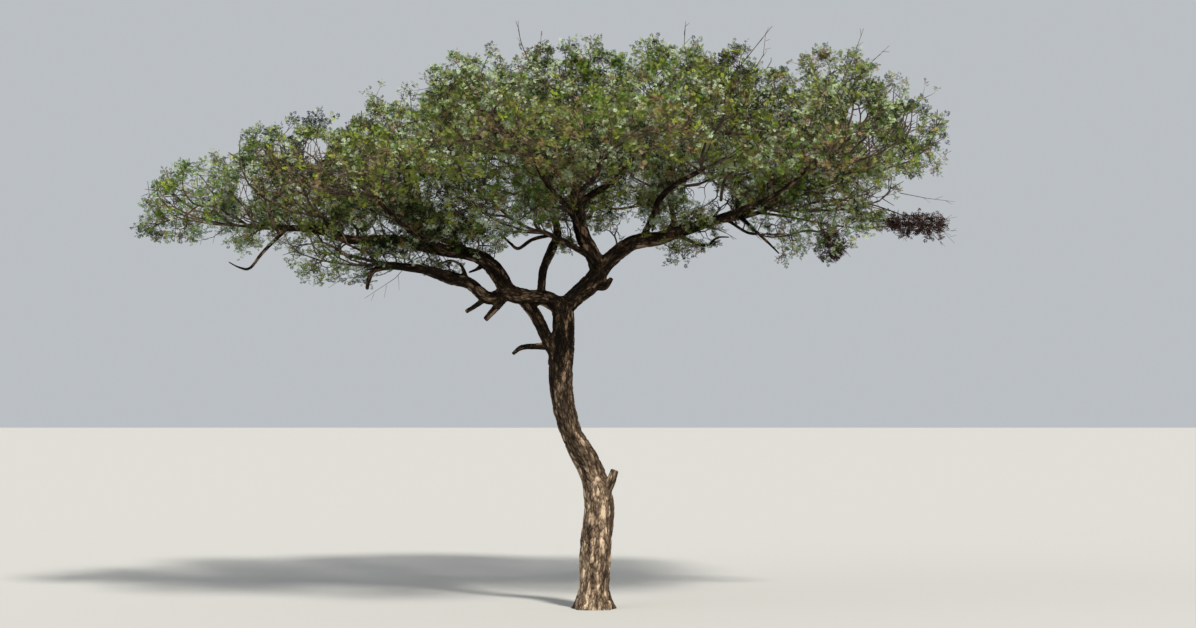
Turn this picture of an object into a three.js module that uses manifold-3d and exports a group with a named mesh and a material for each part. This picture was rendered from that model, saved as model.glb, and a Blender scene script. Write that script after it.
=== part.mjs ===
// An umbrella thorn acacia with a bent trunk and a wide, flat-topped crown.
// Millimetres, +Z up. X runs across the crown's longer way, and the origin is the middle of the flat cut at
// ground level. The trunk and its boughs are tapering limbs. Each bough ends where it enters a mass of foliage,
// and a mass is one solid: twigs that fork from one stem towards seeded points in the mass's own space, with
// leaf sprays fused on.
import * as THREE from "three";
import Module from "manifold-3d";

const wasm = await Module();
wasm.setup();
const { Manifold, Mesh: SolidMesh } = wasm;

// Driving dimensions of the trunk
const TRUNK_RADIUS = 205; // at breast height, bark included
const FLARE_HEIGHT = 330; // the root flare fades out over this height
const FLARE_GROWTH = 0.4; // how much wider the trunk is at the ground
const FLARE_LOBES = 5; // ridges that run down to the hidden roots
const FORK_HEIGHT = 3965;
const STEPS_PER_ROW = 2; // rings along a limb for each row of its route

// Driving dimensions of a feeder bough, from a limb to a mass
const FEEDER_STEP = 450; // from one ring to the next
const FEEDER_END_RADIUS = 0.026; // of its mass's mean half size
const FEEDER_TAPER = 0.0065; // gained in radius for each unit of length back to its start
const FEEDER_LEAST_STEPS = 3;
const FEEDER_BEND = 0.35; // share of its length over which it keeps the direction of either end

// Driving dimensions of the crown
const FIRST_SEED = 4101;
const TARGETS_PER_CUBIC_METRE = 80; // twig ends in the living crown
const LEAST_TARGETS = 40;
const SHOOT_SHARE = 0.06; // twig ends on long shoots, which stand out of the upper side of the crown
const SHOOT_LENGTH = 0.2; // how far they stand out, as a share of the mass's half sizes
const SPACE_FLATNESS = 1.5; // a metre of height counts as this much when masses share out the crown
const TWIG_END_RADIUS = 2.4; // radius of a twig that feeds a single twig end
const TWIG_GROWTH = 0.4; // a twig's radius grows with this power of the twig ends that it feeds
const REACH = 0.5; // share of the way to its twig ends that a twig goes before it forks
const TWIG_LEVELS = 2; // forks from the stem to the twigs that bear sprays
const STEM_LENGTH = 30; // from the bough's tip to the first fork, past twice the stem's radius
const SPRAYS_PER_TWIG = 6;
const SPRAY_LONGEST = 850;
const SPRAY_SHORTEST = 0.26; // of the mass's mean half size
const SPRAY_WIDTH = 0.62; // of the spray's length
const SPRAY_THICKNESS = 18;
const SPRAY_ROLL = 1.1; // turn about its own line from one spray to the next, in radians
const ROLLS_TRIED = 5;

// Gaps and clearances
const TOUCHING_GAP = 0.3; // between two solids that meet
const SPACE_MARGIN = 3; // from a twig or spray to the border of its mass's space
const LIMB_MARGIN = 6; // from a twig or spray to a limb that it passes
const LIMB_SLIVER = 0.01; // details below this size are dropped where limbs are cut
const MASS_SLIVER = 3; // and where twigs and sprays are joined

const BARK = new THREE.MeshStandardMaterial({ color: 0x4a3b33, roughness: 0.95, metalness: 0 });
const LEAF = new THREE.MeshStandardMaterial({ color: 0x5d6430, roughness: 0.8, metalness: 0 });
const DEAD_LEAF = new THREE.MeshStandardMaterial({ color: 0x5a3a2c, roughness: 0.9, metalness: 0 });

// Limbs with a route of their own. Each row is x, y, z and the limb's radius there. A limb starts inside its
// parent.
const ROUTES = {
  trunk: [
    [0, 0, -60, TRUNK_RADIUS], [8, 0, 300, TRUNK_RADIUS], [34, 10, 860, TRUNK_RADIUS], [58, 20, 1400, 186],
    [-60, 0, 1840, 160], [-300, -30, 2290, 142], [-415, -20, 2790, 150], [-426, 0, 3260, 162],
    [-400, 0, 3620, 140], [-416, 0, FORK_HEIGHT, 138],
  ],
  second_stem: [
    [-470, -40, 3180, 66], [-600, -60, 3480, 78], [-755, -50, 3800, 80], [-880, -20, 3970, 84],
    [-940, -10, 4050, 80],
  ],
  cross_bough: [
    [-400, 0, 3890, 120], [-600, 0, 4012, 106], [-830, -10, 4040, 100], [-1030, -10, 4075, 106],
    [-1190, 0, 4165, 112],
  ],
  left_bough: [
    [-1120, 0, 4120, 104], [-1310, 25, 4420, 112], [-1560, 40, 4590, 90], [-2041, 60, 4665, 74],
    [-2600, 40, 4785, 66], [-3172, -40, 4790, 58], [-3692, -80, 4925, 48], [-4400, -90, 4950, 32],
  ],
  low_left_bough: [
    [-1150, -10, 4110, 84], [-1370, -50, 4030, 82], [-1620, -90, 4220, 74], [-1850, -120, 4286, 88],
    [-2200, -150, 4394, 60], [-2574, -180, 4440, 48], [-2700, -170, 4462, 42],
  ],
  middle_bough: [
    [-689, 0, 4040, 56], [-676, 0, 4290, 52], [-640, 20, 4460, 56], [-540, 60, 4690, 62],
    [-480, 220, 4890, 56], [-560, 900, 5180, 42], [-780, 1500, 5420, 34],
  ],
  right_fork: [
    [-430, 0, 3860, 120], [-260, 0, 4035, 114], [-91, 0, 4173, 122], [40, 0, 4320, 122], [66, 0, 4400, 112],
  ],
  inner_bough: [
    [60, -60, 4380, 50], [-60, -110, 4560, 44], [-230, -140, 4670, 42], [-416, -180, 4771, 40],
    [-590, -260, 4850, 34],
  ],
  upright_bough: [
    [60, 0, 4340, 100], [0, 10, 4560, 106], [-117, 20, 4784, 100], [-195, 10, 5020, 88], [-240, 0, 5330, 66],
    [-290, 80, 5600, 50],
  ],
  upright_left_bough: [
    [-236, 0, 5290, 54], [-403, -30, 5545, 52], [-572, -60, 5760, 44], [-800, -130, 5935, 34],
  ],
  upright_right_bough: [
    [-225, 0, 5230, 46], [20, -60, 5405, 46], [247, -90, 5545, 42], [400, -110, 5700, 36],
    [500, -130, 5840, 30],
  ],
  right_bough: [
    [50, 0, 4330, 102], [205, 10, 4530, 104], [510, 10, 4748, 104], [870, -20, 4812, 92],
    [1248, -30, 4935, 70], [1650, 0, 5065, 62], [2054, 30, 5225, 52], [2560, 0, 5480, 36],
  ],
  right_upper_bough: [
    [640, 0, 4830, 46], [774, -100, 5110, 44], [853, -300, 5304, 42], [1040, -700, 5460, 38],
    [1330, -1250, 5590, 30],
  ],
};

// Broken and dead snags that stay fused to the limb they grew from, as rows of x, y, z and radius
const SNAGS = {
  trunk: [[[100, -40, 1430, 76], [200, -60, 1600, 64], [272, -60, 1800, 54]]],
  second_stem: [
    [[-640, -60, 3400, 46], [-775, -80, 3400, 38], [-940, -80, 3385, 34], [-1057, -70, 3300, 24]],
  ],
  cross_bough: [[[-1120, -20, 4110, 66], [-1250, -60, 3930, 48], [-1413, -110, 3745, 36]]],
  low_left_bough: [
    [[-1400, -60, 4030, 42], [-1540, -80, 3925, 34], [-1664, -90, 3848, 28]],
    [[-2560, -180, 4435, 40], [-2820, -190, 4400, 38], [-2905, -195, 4290, 34], [-2938, -195, 4134, 24]],
    [[-1640, -100, 4230, 36], [-1716, -160, 4440, 24], [-1849, -190, 4510, 20], [-1967, -200, 4480, 13]],
  ],
  left_bough: [
    [[-3990, -85, 4930, 30], [-4282, -180, 4621, 24], [-4446, -220, 4412, 21], [-4584, -230, 4420, 17],
      [-4723, -240, 4490, 11]],
    [[-1430, 0, 4470, 44], [-1530, -50, 4400, 24], [-1630, -60, 4360, 15]],
  ],
  right_fork: [[[60, -20, 4200, 76], [140, -30, 4190, 56], [235, -30, 4290, 26]]],
  right_bough: [
    [[1850, 10, 5150, 36], [2054, -60, 4940, 24], [2249, -90, 4758, 19], [2405, -100, 4602, 12]],
    [[1000, -30, 4870, 36], [1120, -90, 4830, 28], [1430, -140, 4706, 22], [1599, -150, 4810, 18],
      [1755, -150, 4815, 12]],
  ],
  inner_bough: [
    [[-560, -240, 4840, 30], [-800, -290, 4775, 25], [-972, -300, 4662, 24], [-1080, -305, 4730, 20],
      [-1205, -310, 4850, 13]],
  ],
};

// The masses of foliage: the middle of each one's space, its half sizes along x, y and z, and the limb that
// bears it. A mass with a leaves value gets a feeder bough, which leaves that limb at that share of its length.
const MASSES = {
  left_tip: { centre: [-5110, -100, 5280], half: [790, 950, 510], limb: "left_bough" },
  left_low: { centre: [-4560, 850, 5380], half: [850, 1000, 630], limb: "left_bough", leaves: 0.86 },
  left_shoulder: { centre: [-3780, -700, 5640], half: [870, 1150, 740], limb: "left_bough", leaves: 0.7 },
  lower_left: { centre: [-3250, -100, 4680], half: [930, 900, 500], limb: "low_left_bough" },
  upper_left: { centre: [-2300, 100, 5980], half: [950, 1300, 890], limb: "left_bough", leaves: 0.47 },
  inner_left: { centre: [-2050, 300, 5330], half: [1000, 1000, 520], limb: "left_bough", leaves: 0.3 },
  low_centre: { centre: [-1150, -600, 5170], half: [850, 850, 480], limb: "inner_bough" },
  centre_left: { centre: [-1430, -250, 6300], half: [1130, 1350, 890], limb: "upright_left_bough" },
  centre: { centre: [-350, 250, 6470], half: [1150, 1350, 930], limb: "upright_bough" },
  centre_right: { centre: [870, -200, 6470], half: [1130, 1350, 910], limb: "upright_right_bough" },
  upper_right: { centre: [1870, 250, 6460], half: [1150, 1350, 930], limb: "right_bough", leaves: 0.8 },
  far_right: { centre: [3010, -450, 6330], half: [1000, 1250, 890], limb: "right_bough" },
  right_tip: { centre: [3880, 700, 6160], half: [790, 1050, 760], limb: "right_bough", leaves: 0.93 },
  right_low: { centre: [3210, 450, 5410], half: [840, 1000, 450], limb: "right_bough", leaves: 0.88 },
  lower_right: { centre: [2780, -400, 4900], half: [800, 800, 430], limb: "right_bough", leaves: 0.68 },
  front_left: { centre: [-3000, -2200, 5600], half: [1120, 1200, 520], limb: "left_bough", leaves: 0.38 },
  front_centre_left: {
    centre: [-950, -2300, 6220], half: [1200, 1300, 620], limb: "upright_bough", leaves: 0.45,
  },
  front_centre_right: { centre: [1200, -2300, 6280], half: [1200, 1300, 620], limb: "right_upper_bough" },
  front_right: { centre: [3050, -2150, 6020], half: [1030, 1200, 680], limb: "right_bough", leaves: 0.62 },
  far_front: { centre: [150, -3800, 5900], half: [1300, 880, 440], limb: "upright_bough", leaves: 0.55 },
  back_left: { centre: [-3000, 2300, 5800], half: [1150, 1250, 780], limb: "left_bough", leaves: 0.22 },
  back_centre_left: { centre: [-1050, 2400, 6150], half: [1200, 1300, 820], limb: "middle_bough" },
  back_centre_right: { centre: [1100, 2400, 6180], half: [1200, 1300, 830], limb: "right_bough", leaves: 0.4 },
  back_right: { centre: [3100, 2300, 5980], half: [1100, 1250, 820], limb: "right_bough", leaves: 0.55 },
  far_back: { centre: [0, 3900, 5720], half: [1300, 880, 620], limb: "upright_bough", leaves: 0.5 },
  hanging_tuft: { centre: [1130, -250, 4660], half: [300, 260, 160], limb: "right_bough", leaves: 0.45 },
  brown_end: { centre: [4190, 0, 4990], half: [350, 220, 110], limb: "right_bough", leaves: 0.78, dead: true },
};

const up = new THREE.Vector3(0, 0, 1);
const vector = ([x, y, z]) => new THREE.Vector3(x, y, z);

// Numbers from 0 to 1 in an order that the seed sets, by the Park-Miller rule.
function seeded(seed) {
  let state = seed;
  return () => {
    state = (state * 16807) % 2147483647;
    return (state - 1) / 2147483646;
  };
}

// A closed solid from points and triangles.
function solidFrom(points, triangles) {
  const vertProperties = new Float32Array(points.flatMap((p) => [p.x, p.y, p.z]));
  return new Manifold(new SolidMesh({ numProp: 3, vertProperties, triVerts: new Uint32Array(triangles) }));
}

// The direction of a line of points at each of them.
function tangents(points) {
  const last = points.length - 1;
  const step = (i) => points[Math.min(i + 1, last)].clone().sub(points[Math.max(i - 1, 0)]);
  return points.map((_, i) => step(i).normalize());
}

// Any direction square to the given one.
function squareTo(direction) {
  const side = new THREE.Vector3().crossVectors(direction, up);
  if (side.length() < 0.1) side.crossVectors(direction, new THREE.Vector3(1, 0, 0));
  return side.normalize();
}

// A closed tube along points, with a ring of the given number of sides and a radius of radiusAt(index, angle) at
// each. The rings are carried along the line without twist.
function tube(points, radiusAt, sides) {
  const along = tangents(points);
  let side = squareTo(along[0]);
  const corners = [];
  points.forEach((point, i) => {
    side = side.clone().addScaledVector(along[i], -side.dot(along[i])).normalize();
    const other = new THREE.Vector3().crossVectors(along[i], side);
    for (let k = 0; k < sides; k++) {
      const angle = (2 * Math.PI * k) / sides;
      const radius = radiusAt(i, angle);
      corners.push(point.clone().addScaledVector(side, radius * Math.cos(angle))
        .addScaledVector(other, radius * Math.sin(angle)));
    }
  });
  const triangles = [];
  const lastRing = (points.length - 1) * sides;
  for (let k = 1; k < sides - 1; k++) {
    triangles.push(0, k + 1, k, lastRing, lastRing + k, lastRing + k + 1);
  }
  for (let ring = 0; ring < lastRing; ring += sides) {
    for (let k = 0; k < sides; k++) {
      const next = (k + 1) % sides;
      triangles.push(ring + k, ring + next, ring + sides + next);
      triangles.push(ring + k, ring + sides + next, ring + sides + k);
    }
  }
  return solidFrom(corners, triangles);
}

// Points and radii along rows of x, y, z and radius, on a smooth curve through them.
function route(rows, stepsPerRow) {
  const curve = new THREE.CatmullRomCurve3(rows.map(vector), false, "catmullrom");
  const steps = (rows.length - 1) * stepsPerRow;
  const points = [];
  const radii = [];
  for (let i = 0; i <= steps; i++) {
    const row = Math.min(Math.floor(i / stepsPerRow), rows.length - 2);
    points.push(curve.getPoint(i / steps));
    radii.push(THREE.MathUtils.lerp(rows[row][3], rows[row + 1][3], i / stepsPerRow - row));
  }
  return { points, radii };
}

// The number of sides that suits a limb's radius.
const sidesFor = (radius) => (radius > 140 ? 12 : radius > 80 ? 8 : radius > 40 ? 6 : 4);

// A limb's own tube, grown outwards all over by extra, its two ends too.
function limbTube(limb, extra = 0) {
  const points = limb.points.map((point) => point.clone());
  const along = tangents(limb.points);
  points[0].addScaledVector(along[0], -extra);
  points.at(-1).addScaledVector(along.at(-1), extra);
  const sides = sidesFor(limb.radii[0]);
  return tube(points, (i, angle) => limb.radii[i] * limb.flare(points[i].z, angle) + extra, sides);
}

const noFlare = () => 1;

// The trunk's root flare: wider and lobed towards the ground.
function rootFlare(z, angle) {
  const share = THREE.MathUtils.clamp(1 - z / FLARE_HEIGHT, 0, 1) ** 2;
  return 1 + share * FLARE_GROWTH * (1 + 0.3 * Math.cos(FLARE_LOBES * angle));
}

// The point of a mass's space that faces a place on a limb, a little towards the underside.
function entryPoint(mass, place) {
  const facing = place.clone().sub(mass.centre).divide(mass.half);
  facing.z -= 0.35 * facing.length();
  return mass.centre.clone().add(facing.normalize().multiplyScalar(0.9).multiply(mass.half));
}

// A feeder bough from a place on its parent to its mass, bending up out of the parent and on into the mass.
function feederRoute(parent, mass) {
  const at = Math.round(mass.leaves * (parent.points.length - 1));
  const start = parent.points[at];
  const end = entryPoint(mass, start);
  const span = end.distanceTo(start);
  const onward = tangents(parent.points)[at];
  const leaving = end.clone().sub(start).normalize().addScaledVector(onward, 0.5).normalize();
  const arriving = mass.centre.clone().sub(start).normalize().addScaledVector(up, 0.25).normalize();
  const nearStart = start.clone().addScaledVector(leaving, FEEDER_BEND * span);
  const nearEnd = end.clone().addScaledVector(arriving, -FEEDER_BEND * span);
  const curve = new THREE.CubicBezierCurve3(start, nearStart, nearEnd, end);
  const steps = Math.max(FEEDER_LEAST_STEPS, Math.round(span / FEEDER_STEP));
  const endRadius = FEEDER_END_RADIUS * mass.meanHalf;
  const startRadius = Math.min(endRadius + FEEDER_TAPER * span, 0.8 * parent.radii[at]);
  const points = curve.getPoints(steps);
  const radii = points.map((_, i) => THREE.MathUtils.lerp(startRadius, endRadius, i / steps));
  return { points, radii, flare: noFlare };
}

// Prepares the masses as vectors, with the weight each one has when the crown is shared out.
for (const [name, mass] of Object.entries(MASSES)) {
  mass.name = name;
  mass.centre = vector(mass.centre);
  mass.half = vector(mass.half);
  mass.meanHalf = (mass.half.x + mass.half.y + mass.half.z) / 3;
  mass.pull = ((mass.half.x + mass.half.y) / 2) ** 2;
}
const masses = Object.values(MASSES);

// All limbs, the routed ones first, in the order in which they cut each other.
const limbs = {};
for (const [name, rows] of Object.entries(ROUTES)) {
  limbs[name] = { ...route(rows, STEPS_PER_ROW), flare: name === "trunk" ? rootFlare : noFlare };
}
for (const mass of masses) {
  if (mass.leaves === undefined) continue;
  const name = `${mass.name}_bough`;
  limbs[name] = feederRoute(limbs[mass.limb], mass);
  mass.limb = name;
}

// The largest separate body of a solid, without loose scraps.
function largestBody(solid) {
  return solid.decompose().reduce((best, body) => (body.volume() > best.volume() ? body : best));
}

// Solids joined into one body, without details smaller than a sliver and without what hung on by one of them.
function joined(solids, sliver) {
  return largestBody(largestBody(Manifold.union(solids)).asOriginal().simplify(sliver));
}

// Whether two boxes have room in common.
function boxesMeet(a, b) {
  return [0, 1, 2].every((k) => a.min[k] < b.max[k] && b.min[k] < a.max[k]);
}

// A solid cut clear of all the others given.
function cutClear(solid, others) {
  const near = others.filter((other) => boxesMeet(solid.boundingBox(), other.boundingBox()));
  return near.reduce((rest, other) => rest.subtract(other), solid);
}

// A limb's tube with its snags, all grown by extra.
function limbWithSnags(name, limb, extra) {
  const snags = (SNAGS[name] ?? []).map((rows) => ({ ...route(rows, STEPS_PER_ROW), flare: noFlare }));
  return Manifold.union([limbTube(limb, extra), ...snags.map((snag) => limbTube(snag, extra))]);
}

// Each limb's solid is cut clear of every limb before it.
const limbSolids = {};
const keptClear = []; // limbs grown by the gap, for cutting what comes later
for (const [name, limb] of Object.entries(limbs)) {
  let solid = limbWithSnags(name, limb, 0);
  if (name === "trunk") solid = solid.trimByPlane([0, 0, 1], 0);
  limbSolids[name] = joined([cutClear(solid, keptClear)], LIMB_SLIVER);
  keptClear.push(limbWithSnags(name, limb, TOUCHING_GAP));
}

// How far a place is from a mass's middle when the masses share out the crown: less is nearer. The places where
// two masses are equally near lie on a plane, so every mass's share is convex.
function nearness(mass, p) {
  const offset = p.clone().sub(mass.centre);
  return offset.x ** 2 + offset.y ** 2 + (SPACE_FLATNESS * offset.z) ** 2 - mass.pull;
}

// Whether a place is in a mass's own space, at least a margin inside it.
function inSpace(mass, p, margin) {
  const offset = p.clone().sub(mass.centre).divide(mass.half);
  if (offset.length() > 1 + SHOOT_LENGTH) return false;
  const own = nearness(mass, p);
  return masses.every((other) => {
    if (other === mass) return true;
    const apart = other.centre.clone().sub(mass.centre);
    apart.z *= SPACE_FLATNESS ** 2;
    return nearness(other, p) - own > 2 * margin * apart.length();
  });
}

// Seeded twig ends, spread evenly through a mass's space, with some on long shoots beyond its upper side.
function twigEnds(mass, random) {
  const volume = ((4 / 3) * Math.PI * mass.half.x * mass.half.y * mass.half.z) / 1e9;
  const wanted = Math.max(LEAST_TARGETS, Math.round(volume * TARGETS_PER_CUBIC_METRE));
  const ends = [];
  for (let i = 0; i < wanted; i++) {
    const height = 2 * random() - 1;
    const turn = 2 * Math.PI * random();
    const depth = random();
    const isShoot = random() < SHOOT_SHARE && height > 0.1;
    const radius = isShoot ? 1 + SHOOT_LENGTH * depth : Math.cbrt(depth);
    const flat = Math.sqrt(1 - height * height);
    const end = new THREE.Vector3(flat * Math.cos(turn), flat * Math.sin(turn), height);
    end.multiplyScalar(radius).multiply(mass.half).add(mass.centre);
    if (inSpace(mass, end, SPACE_MARGIN)) ends.push(end);
  }
  return ends;
}

// The middle of a set of points.
function middleOf(points) {
  return points.reduce((sum, p) => sum.add(p), new THREE.Vector3()).divideScalar(points.length);
}

// The point of a set that is furthest from a place.
function furthest(points, place) {
  return points.reduce((best, p) => (p.distanceToSquared(place) > best.distanceToSquared(place) ? p : best));
}

// Splits points into those nearer to one end of their spread and those nearer to the other.
function splitInTwo(points) {
  const oneEnd = furthest(points, middleOf(points));
  const otherEnd = furthest(points, oneEnd);
  const isNearOne = (p) => p.distanceToSquared(oneEnd) <= p.distanceToSquared(otherEnd);
  return [points.filter(isNearOne), points.filter((p) => !isNearOne(p))];
}

// The radius of a twig that feeds a number of twig ends.
const twigRadius = (ends) => TWIG_END_RADIUS * ends ** TWIG_GROWTH;

// A three-sided twig between two places, its start sunk into the twig that it grows from.
function twig(from, to, startRadius, endRadius, sunk) {
  const along = to.clone().sub(from).normalize();
  const start = from.clone().addScaledVector(along, -sunk);
  const end = to.clone().addScaledVector(along, 0.5 * endRadius);
  return tube([start, end], (i) => (i ? endRadius : startRadius), 3);
}

// A leaf spray: a thin four-sided blade with a ridge along its upper side and one across its lower side, so that
// it takes only four faces. Its root is sunk to the middle of its twig.
function spray(root, tip, roll) {
  const along = tip.clone().sub(root).normalize();
  const across = squareTo(along).applyAxisAngle(along, roll);
  const upward = new THREE.Vector3().crossVectors(along, across);
  const widest = root.clone().lerp(tip, 0.5).addScaledVector(upward, -SPRAY_THICKNESS);
  const halfWidth = 0.5 * SPRAY_WIDTH * root.distanceTo(tip);
  const corners = [
    root, tip,
    widest.clone().addScaledVector(across, halfWidth), widest.clone().addScaledVector(across, -halfWidth),
  ];
  return { corners, solid: solidFrom(corners, [0, 1, 2, 1, 0, 3, 0, 2, 3, 1, 3, 2]) };
}

// Limbs with their snags, grown so that twigs and sprays pass them at a distance.
const passedLimbs = Object.entries(limbs).map(([name, limb]) => limbWithSnags(name, limb, LIMB_MARGIN));

// Whether two solids have room in common.
function overlap(a, b) {
  return boxesMeet(a.boundingBox(), b.boundingBox()) && !a.intersect(b).isEmpty();
}

// Whether a piece of a mass touches no limb.
const clearOfLimbs = (piece) => !passedLimbs.some((limb) => overlap(piece, limb));

// A spray from a place on a twig towards a twig end that stays in its mass's space and touches no limb and none
// of the pieces given, in the first roll that allows it, or null.
function fittingSpray(mass, root, end, firstRoll, pieces) {
  const away = end.clone().sub(root);
  const length = away.length();
  if (length < SPRAY_SHORTEST * mass.meanHalf) return null;
  const tip = root.clone().addScaledVector(away, Math.min(1, SPRAY_LONGEST / length));
  for (let i = 0; i < ROLLS_TRIED; i++) {
    const made = spray(root, tip, firstRoll + (Math.PI * i) / ROLLS_TRIED);
    const fits = made.corners.every((corner) => inSpace(mass, corner, SPACE_MARGIN));
    if (fits && clearOfLimbs(made.solid) && !pieces.some((piece) => overlap(made.solid, piece))) {
      return made.solid;
    }
  }
  return null;
}

// Groups of twig ends: the largest group is split in two until there are enough of them.
function groupsOf(ends, count) {
  const groups = [ends];
  while (groups.length < count) {
    groups.sort((a, b) => b.length - a.length);
    if (groups[0].length < 2) break;
    groups.push(...splitInTwo(groups.shift()).filter((group) => group.length));
  }
  return groups;
}

// Sprays from staggered places along a twig, each out to the furthest twig end of its own group.
function spraysAlong(mass, from, to, ends, pieces) {
  const along = to.clone().sub(from);
  const others = pieces.slice(0, -1);
  const tips = groupsOf(ends, SPRAYS_PER_TWIG).map((group) => furthest(group, from));
  const advance = (tip) => tip.clone().sub(from).normalize().dot(along);
  tips.sort((a, b) => advance(a) - advance(b));
  const made = [];
  tips.forEach((tip, k) => {
    const root = from.clone().addScaledVector(along, 0.35 + (0.65 * k) / Math.max(1, tips.length - 1));
    const solid = fittingSpray(mass, root, tip, SPRAY_ROLL * (pieces.length + k), [...others, ...made]);
    if (solid) made.push(solid);
  });
  pieces.push(...made);
}

// The twigs and sprays from one place on: a twig part of the way to the middle of its twig ends, then a fork.
function grow(mass, from, ends, level, pieces) {
  const next = from.clone().lerp(middleOf(ends), level === TWIG_LEVELS ? 1 : REACH);
  const radius = twigRadius(ends.length);
  const made = twig(from, next, radius, 0.75 * radius, 0.7 * radius);
  if (!inSpace(mass, next, radius + 2) || !clearOfLimbs(made)) return;
  pieces.push(made);
  if (level === TWIG_LEVELS) {
    spraysAlong(mass, from, next, ends, pieces);
    return;
  }
  for (const half of splitInTwo(ends)) {
    if (half.length) grow(mass, next, half, level + 1, pieces);
  }
}

// One mass as a solid: a stem that meets its bough's tip, and the twigs and sprays that fork from it.
function massSolid(mass, seed) {
  const bough = limbs[mass.limb];
  const tip = bough.points.at(-1);
  const along = tangents(bough.points).at(-1);
  const radius = 0.9 * bough.radii.at(-1);
  const foot = tip.clone().addScaledVector(along, TOUCHING_GAP);
  const crotch = tip.clone().addScaledVector(along, 2 * radius + STEM_LENGTH);
  const pieces = [cutClear(tube([foot, crotch], (i) => (i ? 0.8 : 1) * radius, 5), keptClear)];
  const ends = twigEnds(mass, seeded(seed));
  const start = crotch.clone().addScaledVector(along, -0.4 * radius);
  for (const half of splitInTwo(ends)) grow(mass, start, half, 1, pieces);
  return largestBody(cutClear(joined(pieces, MASS_SLIVER), keptClear));
}

// A named mesh with flat-shaded faces from a solid.
function meshOf(name, solid, material) {
  const { vertProperties, triVerts } = solid.getMesh();
  const geometry = new THREE.BufferGeometry();
  geometry.setAttribute("position", new THREE.BufferAttribute(vertProperties, 3));
  geometry.setIndex(new THREE.BufferAttribute(triVerts, 1));
  const mesh = new THREE.Mesh(geometry, material);
  mesh.name = name;
  return mesh;
}

const tree = new THREE.Group();
for (const [name, solid] of Object.entries(limbSolids)) tree.add(meshOf(name, solid, BARK));
masses.forEach((mass, i) => {
  const solid = massSolid(mass, FIRST_SEED + 37 * i);
  tree.add(meshOf(`${mass.name}_foliage`, solid, mass.dead ? DEAD_LEAF : LEAF));
});

export default tree;
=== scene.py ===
"""The looks of an umbrella thorn acacia: furrowed bark over the trunk and boughs, and twigs and leaves that
grow on from them by the rule of the solids, on a plain floor under soft light."""
import math

import bmesh
import bpy
import numpy as np
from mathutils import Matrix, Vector


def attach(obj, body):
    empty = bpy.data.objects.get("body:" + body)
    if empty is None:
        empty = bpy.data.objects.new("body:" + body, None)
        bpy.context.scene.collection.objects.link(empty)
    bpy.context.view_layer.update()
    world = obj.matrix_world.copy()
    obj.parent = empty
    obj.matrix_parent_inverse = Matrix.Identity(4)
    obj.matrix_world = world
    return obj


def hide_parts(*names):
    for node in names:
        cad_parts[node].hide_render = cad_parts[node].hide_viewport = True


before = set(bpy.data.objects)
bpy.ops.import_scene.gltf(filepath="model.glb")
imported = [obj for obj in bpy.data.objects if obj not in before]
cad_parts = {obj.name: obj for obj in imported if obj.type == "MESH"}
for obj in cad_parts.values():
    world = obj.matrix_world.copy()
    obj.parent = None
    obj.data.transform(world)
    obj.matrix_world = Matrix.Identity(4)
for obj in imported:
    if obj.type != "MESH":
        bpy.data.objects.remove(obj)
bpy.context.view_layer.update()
MM = 0.001  # the tables below are in millimetres, as in the solids' source

# Driving dimensions of the trunk and the crown, as in the solids' source
TRUNK_RADIUS = 205
FLARE_HEIGHT = 330
FLARE_GROWTH = 0.4
FLARE_LOBES = 5
FLARE_LOBE_DEPTH = 0.3
FORK_HEIGHT = 3965
TARGETS_PER_CUBIC_METRE = 80
LEAST_TARGETS = 40
SHOOT_SHARE = 0.06
SHOOT_LENGTH = 0.2
SHOOT_HEIGHT = 0.1  # of a mass's half height: long shoots stand only above it
SPACE_FLATNESS = 1.5
SPACE_MARGIN = 3
REACH = 0.5
END_REACH = 0.7  # of the way to a twig's end, where the finest twigs and leaves take over
SWAY = 0.36  # of a twig's length
HEADING_SHARE = 0.3  # how far a twig goes on the way of the one that bears it
FORK_TAPER = 0.85  # a twig's last radius by its first
END_TAPER = 0.5
STEM_LENGTH = 30
STEM_TAPER = 0.9
STEM_OVERLAP = 0.4  # of its radius, with the twigs that leave it
STEPS_PER_ROW = 2
FEEDER_STEP = 450
FEEDER_END_RADIUS = 0.026  # of its mass's mean half size
FEEDER_TAPER = 0.0065
FEEDER_LEAST_STEPS = 3
FEEDER_BEND = 0.35
FEEDER_DIP = 0.35  # how far below its mass's side a feeder bough comes in
FEEDER_DEPTH = 0.9  # of the way from the mass's middle to its border
FEEDER_LEAVING = 0.5  # how much it starts out along the limb that bears it
FEEDER_RISE = 0.25  # how much it rises at its end
FEEDER_THICKEST = 0.8  # of that limb's radius
FIRST_SEED = 4101
SEED_STEP = 37  # from one mass's seed to the next
TWIG_SEED = 977
TWIG_SEED_STEP = 13

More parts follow.
